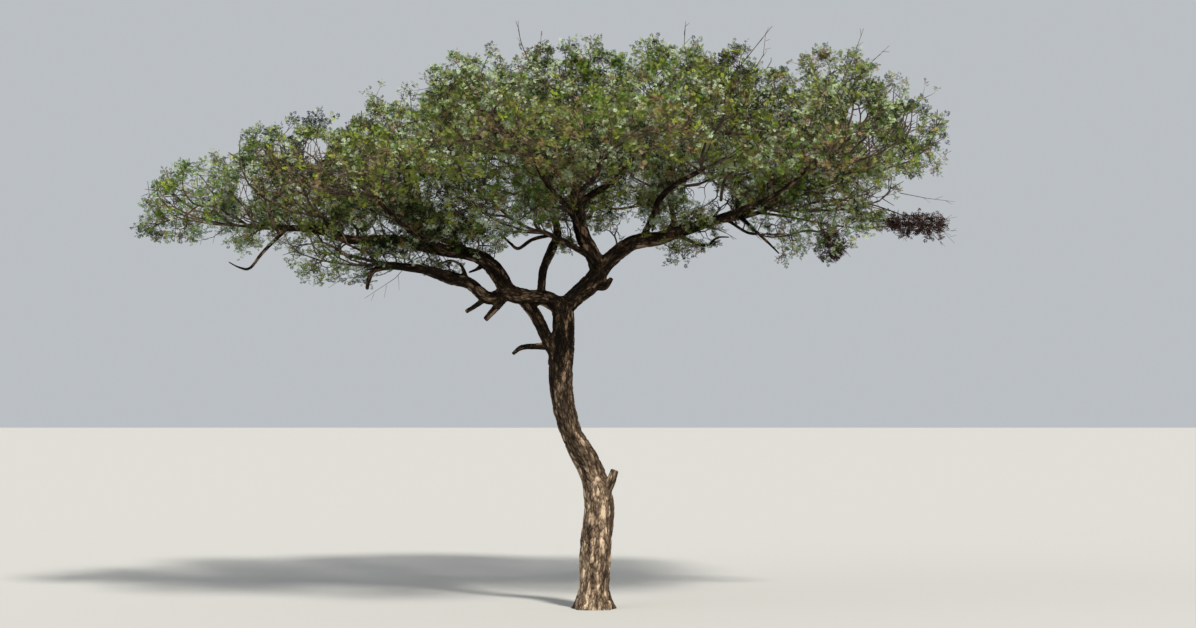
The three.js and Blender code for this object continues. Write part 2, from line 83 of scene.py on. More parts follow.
# Limbs with a route of their own. Each row is x, y, z and the limb's radius there.
ROUTES = {
    "trunk": [
        (0, 0, -60, TRUNK_RADIUS), (8, 0, 300, TRUNK_RADIUS), (34, 10, 860, TRUNK_RADIUS),
        (58, 20, 1400, 186), (-60, 0, 1840, 160), (-300, -30, 2290, 142), (-415, -20, 2790, 150),
        (-426, 0, 3260, 162), (-400, 0, 3620, 140), (-416, 0, FORK_HEIGHT, 138)],
    "second_stem": [
        (-470, -40, 3180, 66), (-600, -60, 3480, 78), (-755, -50, 3800, 80), (-880, -20, 3970, 84),
        (-940, -10, 4050, 80)],
    "cross_bough": [
        (-400, 0, 3890, 120), (-600, 0, 4012, 106), (-830, -10, 4040, 100), (-1030, -10, 4075, 106),
        (-1190, 0, 4165, 112)],
    "left_bough": [
        (-1120, 0, 4120, 104), (-1310, 25, 4420, 112), (-1560, 40, 4590, 90), (-2041, 60, 4665, 74),
        (-2600, 40, 4785, 66), (-3172, -40, 4790, 58), (-3692, -80, 4925, 48), (-4400, -90, 4950, 32)],
    "low_left_bough": [
        (-1150, -10, 4110, 84), (-1370, -50, 4030, 82), (-1620, -90, 4220, 74), (-1850, -120, 4286, 88),
        (-2200, -150, 4394, 60), (-2574, -180, 4440, 48), (-2700, -170, 4462, 42)],
    "middle_bough": [
        (-689, 0, 4040, 56), (-676, 0, 4290, 52), (-640, 20, 4460, 56), (-540, 60, 4690, 62),
        (-480, 220, 4890, 56), (-560, 900, 5180, 42), (-780, 1500, 5420, 34)],
    "right_fork": [
        (-430, 0, 3860, 120), (-260, 0, 4035, 114), (-91, 0, 4173, 122), (40, 0, 4320, 122),
        (66, 0, 4400, 112)],
    "inner_bough": [
        (60, -60, 4380, 50), (-60, -110, 4560, 44), (-230, -140, 4670, 42), (-416, -180, 4771, 40),
        (-590, -260, 4850, 34)],
    "upright_bough": [
        (60, 0, 4340, 100), (0, 10, 4560, 106), (-117, 20, 4784, 100), (-195, 10, 5020, 88),
        (-240, 0, 5330, 66), (-290, 80, 5600, 50)],
    "upright_left_bough": [
        (-236, 0, 5290, 54), (-403, -30, 5545, 52), (-572, -60, 5760, 44), (-800, -130, 5935, 34)],
    "upright_right_bough": [
        (-225, 0, 5230, 46), (20, -60, 5405, 46), (247, -90, 5545, 42), (400, -110, 5700, 36),
        (500, -130, 5840, 30)],
    "right_bough": [
        (50, 0, 4330, 102), (205, 10, 4530, 104), (510, 10, 4748, 104), (870, -20, 4812, 92),
        (1248, -30, 4935, 70), (1650, 0, 5065, 62), (2054, 30, 5225, 52), (2560, 0, 5480, 36)],
    "right_upper_bough": [
        (640, 0, 4830, 46), (774, -100, 5110, 44), (853, -300, 5304, 42), (1040, -700, 5460, 38),
        (1330, -1250, 5590, 30)],
}

# Broken and dead snags, by the limb that bears them
SNAGS = {
    "trunk": [[(100, -40, 1430, 76), (200, -60, 1600, 64), (272, -60, 1800, 54)]],
    "second_stem": [
        [(-640, -60, 3400, 46), (-775, -80, 3400, 38), (-940, -80, 3385, 34), (-1057, -70, 3300, 24)]],
    "cross_bough": [[(-1120, -20, 4110, 66), (-1250, -60, 3930, 48), (-1413, -110, 3745, 36)]],
    "low_left_bough": [
        [(-1400, -60, 4030, 42), (-1540, -80, 3925, 34), (-1664, -90, 3848, 28)],
        [(-2560, -180, 4435, 40), (-2820, -190, 4400, 38), (-2905, -195, 4290, 34), (-2938, -195, 4134, 24)],
        [(-1640, -100, 4230, 36), (-1716, -160, 4440, 24), (-1849, -190, 4510, 20), (-1967, -200, 4480, 13)]],
    "left_bough": [
        [(-3990, -85, 4930, 30), (-4282, -180, 4621, 24), (-4446, -220, 4412, 21), (-4584, -230, 4420, 17),
         (-4723, -240, 4490, 11)],
        [(-1430, 0, 4470, 44), (-1530, -50, 4400, 24), (-1630, -60, 4360, 15)]],
    "right_fork": [[(60, -20, 4200, 76), (140, -30, 4190, 56), (235, -30, 4290, 26)]],
    "right_bough": [
        [(1850, 10, 5150, 36), (2054, -60, 4940, 24), (2249, -90, 4758, 19), (2405, -100, 4602, 12)],
        [(1000, -30, 4870, 36), (1120, -90, 4830, 28), (1430, -140, 4706, 22), (1599, -150, 4810, 18),
         (1755, -150, 4815, 12)]],
    "inner_bough": [
        [(-560, -240, 4840, 30), (-800, -290, 4775, 25), (-972, -300, 4662, 24), (-1080, -305, 4730, 20),
         (-1205, -310, 4850, 13)]],
}

# The masses of foliage: middle, half sizes, the limb that bears each, and where on it a feeder bough leaves
MASSES = {
    "left_tip": ((-5110, -100, 5280), (790, 950, 510), "left_bough", None),
    "left_low": ((-4560, 850, 5380), (850, 1000, 630), "left_bough", 0.86),
    "left_shoulder": ((-3780, -700, 5640), (870, 1150, 740), "left_bough", 0.7),
    "lower_left": ((-3250, -100, 4680), (930, 900, 500), "low_left_bough", None),
    "upper_left": ((-2300, 100, 5980), (950, 1300, 890), "left_bough", 0.47),
    "inner_left": ((-2050, 300, 5330), (1000, 1000, 520), "left_bough", 0.3),
    "low_centre": ((-1150, -600, 5170), (850, 850, 480), "inner_bough", None),
    "centre_left": ((-1430, -250, 6300), (1130, 1350, 890), "upright_left_bough", None),
    "centre": ((-350, 250, 6470), (1150, 1350, 930), "upright_bough", None),
    "centre_right": ((870, -200, 6470), (1130, 1350, 910), "upright_right_bough", None),
    "upper_right": ((1870, 250, 6460), (1150, 1350, 930), "right_bough", 0.8),
    "far_right": ((3010, -450, 6330), (1000, 1250, 890), "right_bough", None),
    "right_tip": ((3880, 700, 6160), (790, 1050, 760), "right_bough", 0.93),
    "right_low": ((3210, 450, 5410), (840, 1000, 450), "right_bough", 0.88),
    "lower_right": ((2780, -400, 4900), (800, 800, 430), "right_bough", 0.68),
    "front_left": ((-3000, -2200, 5600), (1120, 1200, 520), "left_bough", 0.38),
    "front_centre_left": ((-950, -2300, 6220), (1200, 1300, 620), "upright_bough", 0.45),
    "front_centre_right": ((1200, -2300, 6280), (1200, 1300, 620), "right_upper_bough", None),
    "front_right": ((3050, -2150, 6020), (1030, 1200, 680), "right_bough", 0.62),
    "far_front": ((150, -3800, 5900), (1300, 880, 440), "upright_bough", 0.55),
    "back_left": ((-3000, 2300, 5800), (1150, 1250, 780), "left_bough", 0.22),
    "back_centre_left": ((-1050, 2400, 6150), (1200, 1300, 820), "middle_bough", None),
    "back_centre_right": ((1100, 2400, 6180), (1200, 1300, 830), "right_bough", 0.4),
    "back_right": ((3100, 2300, 5980), (1100, 1250, 820), "right_bough", 0.55),
    "far_back": ((0, 3900, 5720), (1300, 880, 620), "upright_bough", 0.5),
    "hanging_tuft": ((1130, -250, 4660), (300, 260, 160), "right_bough", 0.45),
    "brown_end": ((4190, 0, 4990), (350, 220, 110), "right_bough", 0.78),
}
DEAD_MASSES = ("brown_end",)

# The bark mesh
FINE_STEPS_PER_ROW = 12
FINE_STEP = 40
LEAST_FINE_STEPS = 8
BARK_VOXEL = 13
SMOOTH_ROUNDS = 4
BARK_SPLIT = 3700  # height where the skin is parted into two pieces
PLATE_WIDTH = 50
PLATE_LENGTH = 140
PLATE_DEPTH = 0.075  # of the limb's radius
DEEPEST_PLATE = 11
SMALL_PLATES_PER_METRE = 32
CRACK_WIDTH = 0.2  # of a small plate
CRACK_WARP = (0.05, 0.05, 0.05)  # how far cracks wander, in metres
CRACK_WARP_PER_METRE = 14
PLATE_EDGE = 0.3  # how far a plate's rounded edge reaches, where its width is 1
PATTERN_WARP = 0.9  # how far plates are pulled out of shape, where their width is 1
WARP_SIZES = (90, 90, 240)
APART_IN_BARK = 700  # shifts each limb's bark pattern, so that no two are alike
LIMB_BLEND = 0.45  # of a limb's radius: where two limbs meet, their bark blends over this distance
NEAR_LIMB = 1.7  # of a limb's largest radius: places farther off than this and the room aren't on it
NEAR_LIMB_ROOM = 60
FAR_OFF = 99.0  # stands for the distance of a limb or a plate that isn't near
PLACES_AT_ONCE = 20000
THICK_LIMB_RADIUS = 60
THICK_LIMB_SIDES = 28
THIN_LIMB_SIDES = 16
LUMP_LENGTH = 300
LUMP_DEPTH = 0.07  # of the limb's radius
SMALL_LUMP_SIZE = 0.4  # of a lump's length
SMALL_LUMP_SHARE = 0.6  # of a lump's depth
PLATE_STEP = 0.7  # how much higher one plate may be than another, where a furrow's depth is 1
PLATE_BASE = 0.6  # how far a furrow's bottom is under the limb's own surface
CELL_SEEDS = (11, 12, 13)
TONE_SEED = 14
WARP_SEED = 20
LUMP_SEED = 3
SMALL_LUMP_SEED = 4

# Leafy shoots along the limbs: the share of each limb that is bare of them, counted from its foot
BARE_SHARES = {
    "left_bough": 0.12, "low_left_bough": 0.36, "middle_bough": 0.7, "inner_bough": 0.3, "upright_bough": 0.5,
    "upright_left_bough": 0.75, "upright_right_bough": 0.15, "right_bough": 0.36, "right_upper_bough": 0.15}
FEEDER_BARE_SHARE = 0.4
BARE_FEEDERS = ("hanging_tuft_bough", "brown_end_bough")
SHOOT_SPACING = 150
SHORTEST_SHOOT = 220
LONGEST_SHOOT = 620
SHOOT_ENDS = (5, 13)  # fewest and most twig ends on a shoot
SHOOT_GROWTH = 0.4
SHOOT_SPREAD = (0.45, 0.45, 0.3)  # of its reach, on either side of its middle
SHOOT_LEAN = 0.5  # towards the limb's own direction
SHOOT_RISE = 0.2
LIMB_SHOOT_SEED = 7001
LIMB_SHOOT_SEED_STEP = 31
BARE_SHOOT_SEED = 8111
OUTER_BRANCHES = 4  # long branches that show on the outer side of each mass
OUTER_BRANCH_RADIUS = 15
OUTER_BRANCH_SEED = 5201
OUTER_BRANCH_SWAY = 0.9  # in radians
OUTER_BEND_HEIGHT = -0.6  # this and the tip's place are in half sizes of the mass, from its middle
OUTER_TIP_REACH = 0.85
OUTER_TIP_HEIGHT = 0.5
SHOWN_MASS = 700  # mean half size from which a mass has them
BARE_SHOOT_SWAY = 0.4  # of its length
BARE_SHOOT_TAPER = 0.3
SIDE_SHOOT_PLACES = (0.45, 0.65, 0.85)  # on a bare shoot or a long branch
SIDE_SHOOT_SPREAD = 1.8
SIDE_SHOOT_LENGTH = 0.3  # of the shoot's, at its foot
SIDE_SHOOT_SHORTENING = 0.2  # less at its tip
SIDE_SHOOT_RADII = (0.45, 0.25)  # first and last, by the shoot's first
LIMB_SHOOT = -1  # stands in place of a mass's number

# Long bare shoots, most of them beyond the crown: foot, tip and the radius at the foot
BARE_SHOOTS = [
    ((-760, -130, 6950), (-985, -200, 7620), 10), ((-800, 210, 7080), (-690, 180, 7540), 9),
    ((1220, -70, 7000), (1190, -150, 7620), 9), ((1770, 180, 6890), (2330, 100, 7590), 11),
    ((2100, 120, 7030), (2240, 60, 7480), 8), ((3190, -280, 6780), (3480, -330, 7500), 9),
    ((3280, -160, 6670), (3820, -260, 7290), 8), ((-1940, 120, 6500), (-2180, 60, 7040), 8),
    ((4020, 330, 5420), (4730, 250, 5300), 6), ((4070, 20, 5120), (4690, -30, 4740), 6),
    ((3960, 40, 4980), (4730, 60, 5090), 6), ((4220, 40, 5120), (4560, -60, 4700), 5),
    ((3700, -20, 5080), (4520, -150, 5080), 8), ((4150, 0, 5000), (4700, -160, 4900), 6),
    ((3960, 50, 5130), (4060, -80, 4760), 6), ((3870, -30, 4910), (3950, -60, 5180), 6),
    ((3370, -40, 5100), (3980, -100, 4960), 9), ((-5050, -80, 5040), (-5720, -140, 4800), 7),
    ((-4750, -130, 4950), (-5150, -190, 4760), 7), ((-2220, -160, 4680), (-2960, -260, 4020), 6),
    ((-2190, -110, 4590), (-3550, -220, 4250), 8), ((2020, -10, 5550), (2760, -120, 4620), 9),
    ((2000, 50, 5740), (3330, -90, 4560), 9), ((1730, 0, 5290), (2180, -60, 4780), 8),
    ((1050, -10, 5030), (1850, -110, 4790), 10), ((-4040, -520, 4850), (-4190, -900, 5420), 24),
    ((-4340, -480, 4900), (-4730, -860, 5400), 15), ((-4180, -880, 5330), (-4000, -950, 5600), 13),
    ((2900, -20, 5290), (4250, -60, 4990), 19)]

# Small clumps of twigs: foot of the branch, middle, radius, number of twig ends
DEAD_CLUMPS = [
    ((2880, -400, 5000), (3030, -500, 4670), 150, 34), ((4200, -30, 5000), (4400, -60, 4930), 110, 16),
    ((3950, -20, 5030), (4120, -60, 4980), 90, 8), ((3640, -20, 5080), (3880, -50, 5010), 90, 12)]
LIVING_CLUMPS = [
    ((3300, -20, 5150), (3640, -80, 5110), 190, 26), ((3200, -50, 5250), (3500, -100, 5200), 200, 22),
    ((-4300, -150, 4930), (-4500, -250, 4760), 170, 18), ((-5400, -100, 5080), (-5710, -150, 4970), 160, 20),
    ((-1560, 20, 4610), (-1420, -60, 4800), 200, 22), ((760, -20, 4900), (820, -80, 5020), 170, 20),
    ((300, 20, 4700), (240, 60, 4930), 190, 20), ((1250, -20, 4920), (1500, -80, 4880), 160, 14),
    ((-3100, 0, 4800), (-3250, 1050, 5450), 480, 70), ((1650, -50, 5300), (1950, -1050, 6000), 430, 60),
    ((-200, 0, 5400), (150, -1100, 6200), 400, 55), ((-1500, -300, 5300), (-1950, -1500, 5850), 430, 60),
    ((-1300, -2500, 5900), (-1750, -3150, 5780), 450, 60),
    ((1600, -2500, 5950), (2150, -3050, 5850), 450, 60), ((1500, 2700, 5950), (1800, 3350, 5750), 450, 60),
    ((-1400, 2700, 5900), (-1750, 3350, 5700), 450, 60), ((4000, -300, 5900), (4050, -950, 5950), 380, 45)]
CLUMP_SEED = 6101
DEAD_ROUND_CLUMP = 1.3  # of a dead clump's radius: all leaves within this are dead

# The camera stands where the photographer did. Its sizes are in metres.
PIXEL = 0.013  # of the photo, at the trunk
VIEW_WIDTH = 1196 * PIXEL
HORIZON_BELOW_MIDDLE = 61 * PIXEL
CAMERA_DISTANCE = 35.0
CAMERA_HEIGHT = 3.03
CAMERA_X = 0.052
SENSOR = 36.0  # in millimetres

# Openings where the photo shows sky through the crown: x, z and radius, seen by the camera as at the trunk
OPENINGS = [
    (200, 4790, 130), (370, 4970, 90), (1450, 4840, 90), (1430, 5410, 150), (1250, 5460, 80),
    (1670, 5300, 130), (2170, 4880, 90), (3430, 6430, 140), (3560, 6070, 90), (3600, 5950, 80),
    (3750, 5310, 130), (3880, 6670, 90), (4130, 6350, 110), (4120, 6220, 80), (2390, 7160, 150),
    (-2230, 6790, 90), (-3630, 5960, 160), (-3990, 6240, 100), (-4550, 5410, 110), (-4660, 5950, 70)]

# The finer twigs and the leaves
LEAF_SEED = 20
END_TWIG_RADIUS = 4.2  # it bears several of the finest twigs
BRANCH_RADIUS = 9  # a twig thicker than this is a round branch
SIDE_TWIG_PLACES = (1.0, 0.9, 0.76, 0.6, 0.42, 0.22)  # on an end twig, the last only where the light is good
SIDE_TWIG_LENGTH = 85
SIDE_TWIG_RADIUS = 2.1
SPIRAL_TURN = 2.4  # in radians, as the leans, from one side twig or leaf to the next
SIDE_TWIG_LEAN = 0.95
TIP_TWIG_LEAN = 0.2
TWIG_LEAN_SPREAD = 0.5
TWIG_RISE = 0.15
SIDE_LEAF_LEAN = 1.1
TIP_LEAF_LEAN = 0.3
LEAF_LEAN_SPREAD = 0.6
LEAF_FLATNESS = 0.75  # a leaf's rise or fall, by what the spiral gives it
LEAF_ROLL = 1.8  # how unevenly leaves face up
LEAVES_PER_SIDE_TWIG = 5
FIRST_LEAF_PLACE = 0.4  # of the way along its side twig, with the others evenly from there to the tip
LEAF_LENGTH = 46
PINNA_LENGTH = 30
PINNA_WIDTH = 19
PINNA_PAIRS = 2
FIRST_PINNA = 0.2  # of the way along the leaf
PINNA_SPACING = 0.33
LAST_PINNA = 0.6
PINNA_WAY = (0.6, 0.8, -0.18)  # along the leaf, to its side and down
PINNA_WIDEST = 0.55  # of the way along the blade
THIN_MASSES = {
    "lower_right": 0.8, "right_low": 0.7, "right_tip": 0.65, "far_right": 0.88, "hanging_tuft": 0.6,
    "brown_end": 0.42}  # share of the leaves that they keep
LEAST_LIGHT = 0.14  # on the underside of a mass
MIDDLE_LIGHT = 0.34
LIGHT_BY_HEIGHT = 0.46  # gained from a mass's middle to its top
LIGHT_BY_DEPTH = 0.3  # gained from its middle to its border
MASS_SHOOT_LIGHT = 0.3  # on the shoots that stand out of it
MASS_BORDER = 1.02  # of its half sizes
LIMB_SHOOT_LIGHT = 0.5
FULL_MASSES = {
    "low_centre": 0.6, "inner_left": 0.45, "left_tip": 0.7, "left_low": 0.5, "lower_left": 0.55,
    "lower_right": 0.4, "hanging_tuft": 0.2, "brown_end": 0.6}  # masses with more light there

Z_AXIS = np.array((0.0, 0.0, 1.0))
X_AXIS = np.array((1.0, 0.0, 0.0))


def seeded(seed):
    """Numbers from 0 to 1 in an order that the seed sets, by the Park-Miller rule."""
    state = seed
    while True:
        state = state * 16807 % 2147483647
        yield (state - 1) / 2147483646


def drawn(random, *shape):
    """An array of the next numbers."""
    return np.array([next(random) for _ in range(math.prod(shape))]).reshape(shape)


def varied(size, spread, share):
    """A size between its smallest and its largest, each a spread away from it, at a share of the way."""
    return size * (1 - spread + 2 * spread * share)


def unit(v):
    """Vectors of length 1 along those given."""
    v = np.asarray(v, float)
    return v / np.maximum(np.linalg.norm(v, axis=-1, keepdims=True), 1e-9)


def tangents(points, axis=0):
    """The direction of lines of points at each of them."""
    return unit(np.gradient(points, axis=axis))


def run_along(points):
    """How far along a line of points each of them is."""
    return np.concatenate(([0.0], np.cumsum(np.linalg.norm(np.diff(points, axis=0), axis=1))))


def route(rows, steps_per_row):
    """Points and radii along rows of x, y, z and radius, on a Catmull-Rom curve through them."""
    rows = np.array(rows, float)
    places = rows[:, :3]
    padded = np.vstack((2 * places[0] - places[1], places, 2 * places[-1] - places[-2]))
    steps = (len(rows) - 1) * steps_per_row
    at = np.arange(steps + 1) / steps_per_row
    row = np.minimum(at.astype(int), len(rows) - 2)
    t = (at - row)[:, None]
    before, start, end, after = (padded[row + k] for k in range(4))
    leaving, arriving = 0.5 * (end - before), 0.5 * (after - start)
    points = (start + leaving * t + (-3 * start + 3 * end - 2 * leaving - arriving) * t**2
              + (2 * start - 2 * end + leaving + arriving) * t**3)
    radii = rows[row, 3] + (rows[row + 1, 3] - rows[row, 3]) * t[:, 0]
    return points, radii


def nearest_whole(x):
    return math.floor(x + 0.5)


class Mass:
    """A mass of foliage with its own space."""

    def __init__(self, name, centre, half, limb, leaves):
        self.name = name
        self.centre = np.array(centre, float)
        self.half = np.array(half, float)
        self.limb = limb
        self.leaves = leaves
        self.mean_half = self.half.mean()
        self.pull = ((self.half[0] + self.half[1]) / 2) ** 2


def feeder_curve(parent, mass):
    """The four control points and the two end radii of a feeder bough from its parent limb to its mass."""
    points, radii = parent
    at = nearest_whole(mass.leaves * (len(points) - 1))
    start = points[at]
    facing = (start - mass.centre) / mass.half
    facing[2] -= FEEDER_DIP * np.linalg.norm(facing)
    end = mass.centre + unit(facing) * FEEDER_DEPTH * mass.half
    span = np.linalg.norm(end - start)
    leaving = unit(unit(end - start) + FEEDER_LEAVING * tangents(points)[at])
    arriving = unit(unit(mass.centre - start) + FEEDER_RISE * Z_AXIS)
    end_radius = FEEDER_END_RADIUS * mass.mean_half
    start_radius = min(end_radius + FEEDER_TAPER * span, FEEDER_THICKEST * radii[at])
    bend = FEEDER_BEND * span
    controls = np.array((start, start + bend * leaving, end - bend * arriving, end))
    return controls, start_radius, end_radius


def bezier(controls, steps):
    """Points on a cubic curve."""
    t = np.linspace(0, 1, steps + 1)[:, None]
    a, b, c, d = controls
    return a * (1 - t) ** 3 + 3 * b * t * (1 - t) ** 2 + 3 * c * t**2 * (1 - t) + d * t**3


def make_limbs(masses):
    """All limbs twice: coarse, as in the solids, and fine, for the bark mesh, as points and radii."""
    coarse = {name: route(rows, STEPS_PER_ROW) for name, rows in ROUTES.items()}
    fine = {name: route(rows, FINE_STEPS_PER_ROW) for name, rows in ROUTES.items()}
    for mass in masses:
        if mass.leaves is None:
            continue
        controls, start_radius, end_radius = feeder_curve(coarse[mass.limb], mass)
        span = np.linalg.norm(controls[3] - controls[0])
        name = mass.name + "_bough"
        coarse_steps = max(FEEDER_LEAST_STEPS, nearest_whole(span / FEEDER_STEP))
        for limbs, steps in ((coarse, coarse_steps), (fine, max(LEAST_FINE_STEPS, int(span / FINE_STEP)))):
            limbs[name] = (bezier(controls, steps), np.linspace(start_radius, end_radius, steps + 1))
        mass.limb = name
    for name, snags in SNAGS.items():
        for k, rows in enumerate(snags):
            fine[f"{name}_snag_{k}"] = route(rows, FINE_STEPS_PER_ROW)
    return coarse, fine


def in_space(mass, masses, places, margin):
    """Whether each place is in the mass's own space, at least a margin inside it."""
    offset = (places - mass.centre) / mass.half
    inside = np.linalg.norm(offset, axis=1) <= 1 + SHOOT_LENGTH
    own = nearness(mass, places)
    for other in masses:
        if other is not mass:
            apart = (other.centre - mass.centre) * (1, 1, SPACE_FLATNESS**2)
            inside &= nearness(other, places) - own > 2 * margin * np.linalg.norm(apart)
    return inside


def nearness(mass, places):
    """How far places are from a mass's middle when the masses share out the crown."""
    offset = (places - mass.centre) * (1, 1, SPACE_FLATNESS)
    return (offset**2).sum(axis=1) - mass.pull


def twig_ends(mass, masses, seed):
    """Seeded twig ends, spread evenly through a mass's space, with some on long shoots above it."""
    random = seeded(seed)
    volume = 4 / 3 * math.pi * mass.half.prod() / 1e9
    wanted = max(LEAST_TARGETS, nearest_whole(volume * TARGETS_PER_CUBIC_METRE))
    ends = []
    for _ in range(wanted):
        height = 2 * next(random) - 1
        turn = 2 * math.pi * next(random)
        depth = next(random)
        is_shoot = next(random) < SHOOT_SHARE and height > SHOOT_HEIGHT
        radius = 1 + SHOOT_LENGTH * depth if is_shoot else depth ** (1 / 3)
        flat = math.sqrt(1 - height * height)
        ends.append((radius * flat * math.cos(turn), radius * flat * math.sin(turn), radius * height))
    places = np.array(ends) * mass.half + mass.centre
    return places[in_space(mass, masses, places, SPACE_MARGIN)]


def split_in_two(ends):
    """Twig ends nearer to one end of their spread, and those nearer to the other."""
    one_end = ends[((ends - ends.mean(axis=0)) ** 2).sum(axis=1).argmax()]
    other_end = ends[((ends - one_end) ** 2).sum(axis=1).argmax()]
    near_one = ((ends - one_end) ** 2).sum(axis=1) <= ((ends - other_end) ** 2).sum(axis=1)
    return ends[near_one], ends[~near_one]


def grow(twigs, mass_number, start, heading, ends, growth, random):
    """Twigs from one place on: part of the way to the middle of the twig ends, then a fork, down to single
    ends. A twig that leads to n ends is n to the power of growth times as thick as the last one. Each twig is
    a row of start, bend, end, first and last radius, whether it is an end twig, and its mass's number."""
    is_last = len(ends) == 1
    target = start + (ends.mean(axis=0) - start) * (END_REACH if is_last else REACH)
    length = np.linalg.norm(target - start)
    sway = (drawn(random, 3) - 0.5) * SWAY * length
    way = (1 - HEADING_SHARE) * unit(target - start) + HEADING_SHARE * heading
    bend = start + 0.5 * length * way + sway
    radius = END_TWIG_RADIUS * len(ends) ** growth
    taper = END_TAPER if is_last else FORK_TAPER
    twigs.append((start, bend, target, radius, taper * radius, is_last, mass_number))
    if is_last:
        return
    onward = unit(target - bend)
    for half in split_in_two(ends):
        if len(half):
            grow(twigs, mass_number, target, onward, half, growth, random)


def grow_mass(twigs, mass_number, mass, masses, limbs):
    """One mass's stem and all its twigs."""
    points, radii = limbs[mass.limb]
    along = tangents(points)[-1]
    radius = STEM_TAPER * radii[-1]
    crotch = points[-1] + along * (2 * radius + STEM_LENGTH)
    foot = points[-1] - along * radius
    twigs.append((foot, 0.5 * (foot + crotch), crotch, radii[-1], radius, False, mass_number))
    ends = twig_ends(mass, masses, FIRST_SEED + SEED_STEP * mass_number)
    random = seeded(TWIG_SEED + TWIG_SEED_STEP * mass_number)
    growth = math.log(radius / END_TWIG_RADIUS) / math.log(len(ends))
    for half in split_in_two(ends):
        grow(twigs, mass_number, crotch - STEM_OVERLAP * radius * along, along, half, growth, random)


def grow_limb_shoots(twigs, points, radii, bare_share, random):
    """Short, rising leafy shoots all round a limb, beyond its bare share."""
    along = tangents(points)
    run = run_along(points)
    at = bare_share * run[-1]
    while at < run[-1]:
        row = int(np.searchsorted(run, at)) if at > 0 else 0
        at += varied(SHOOT_SPACING, 0.4, next(random))
        side, other = square_frames(along[row])
        turn = 2 * math.pi * next(random)
        heading = unit(math.cos(turn) * side + math.sin(turn) * other + SHOOT_LEAN * along[row])
        heading[2] = abs(heading[2]) + SHOOT_RISE
        reach = SHORTEST_SHOOT + (LONGEST_SHOOT - SHORTEST_SHOOT) * next(random)
        middle = points[row] + heading * (radii[row] + 0.7 * reach)
        count = SHOOT_ENDS[0] + int((SHOOT_ENDS[1] - SHOOT_ENDS[0]) * next(random))
        spread = 2 * drawn(random, count, 3) - 1
        ends = middle + spread * reach * SHOOT_SPREAD
        grow(twigs, LIMB_SHOOT, points[row], heading, ends, SHOOT_GROWTH, random)


def grow_all_limb_shoots(twigs, limbs):
    """The leafy shoots of all limbs."""
    shares = dict(BARE_SHARES)
    for name in limbs:
        if name.endswith("_bough") and name not in (*ROUTES, *BARE_FEEDERS):
            shares[name] = FEEDER_BARE_SHARE
    for number, (name, bare_share) in enumerate(shares.items()):
        points, radii = limbs[name]
        random = seeded(LIMB_SHOOT_SEED + LIMB_SHOOT_SEED_STEP * number)
        grow_limb_shoots(twigs, points, radii, bare_share, random)


def placed(name, data):
    """A new object in the scene."""
    made = bpy.data.objects.new(name, data)
    bpy.context.collection.objects.link(made)
    return made


def new_mesh_object(name, points, faces, material=None):
    """An object from points in millimetres and faces of equal size."""
    mesh = bpy.data.meshes.new(name)
    faces = np.asarray(faces)
    corners = faces.shape[1]
    mesh.vertices.add(len(points))
    mesh.vertices.foreach_set("co", (np.asarray(points) * MM).astype(np.float32).ravel())
    mesh.loops.add(faces.size)
    mesh.loops.foreach_set("vertex_index", faces.astype(np.int32).ravel())
    mesh.polygons.add(len(faces))
    mesh.polygons.foreach_set("loop_start", np.arange(0, faces.size, corners, dtype=np.int32))
    if material:
        mesh.materials.append(material)
    mesh.update(calc_edges=True)
    return placed(name, mesh)


def square_frames(directions):
    """Two directions square to each one given, and to each other."""
    steep = np.abs(directions[..., 2:3]) > 0.9
    reference = np.where(steep, X_AXIS, Z_AXIS)
    side = unit(np.cross(directions, reference))
    return side, np.cross(directions, side)


def carried_sides(along):
    """A direction square to a line at each of its points, carried along it without a twist."""
    side = square_frames(along[:1])[0][0]
    sides = []
    for direction in along:
        side = unit(side - side.dot(direction) * direction)
        sides.append(side)
    return np.array(sides)


def turned(turn, side, other):
    """Directions turned by an angle from one direction towards another."""
    return np.cos(turn)[..., None] * side + np.sin(turn)[..., None] * other


def ring_turns(sides):
    """Evenly spaced angles round a ring, and the number of each one's neighbour."""
    k = np.arange(sides)
    return k * 2 * math.pi / sides, (k + 1) % sides


def prisms(lines, radii, sides):
    """Tubes along many lines with equally many points. Returns points and four-cornered faces."""
    count, rings = lines.shape[:2]
    directions = tangents(lines, axis=1)
    side = square_frames(unit(lines[:, -1] - lines[:, 0]))[0][:, None]
    side = unit(side - (side * directions).sum(axis=2, keepdims=True) * directions)
    other = np.cross(directions, side)
    turn, after = ring_turns(sides)
    spokes = turned(turn, side[:, :, None, :], other[:, :, None, :])
    points = lines[:, :, None, :] + spokes * radii[:, :, None, None]
    base = (np.arange(count) * rings * sides)[:, None, None] + (np.arange(rings - 1) * sides)[None, :, None]
    k = np.arange(sides)
    faces = np.stack((base + k, base + after, base + sides + after, base + sides + k), axis=-1)
    return points.reshape(-1, 3), faces.reshape(-1, 4)


def bent_lines(starts, bends, ends, steps):
    """Points along curves that leave each start towards its bend and come to its end."""
    t = np.linspace(0, 1, steps + 1)[None, :, None]
    starts, bends, ends = (np.asarray(a)[:, None, :] for a in (starts, bends, ends))
    return starts * (1 - t) ** 2 + 2 * bends * t * (1 - t) + ends * t**2


def hashed(cells, seed):
    """A number from 0 to 1 for each cell of a lattice."""
    x, y, z = cells.T
    mixed = (x * 73856093) ^ (y * 19349663) ^ (z * 83492791) ^ (seed * 2654435761)
    mixed = (mixed ^ (mixed >> 13)) * 1274126177 & 0x7FFFFFFF
    return ((mixed ^ (mixed >> 16)) & 0xFFFF) / 0xFFFF


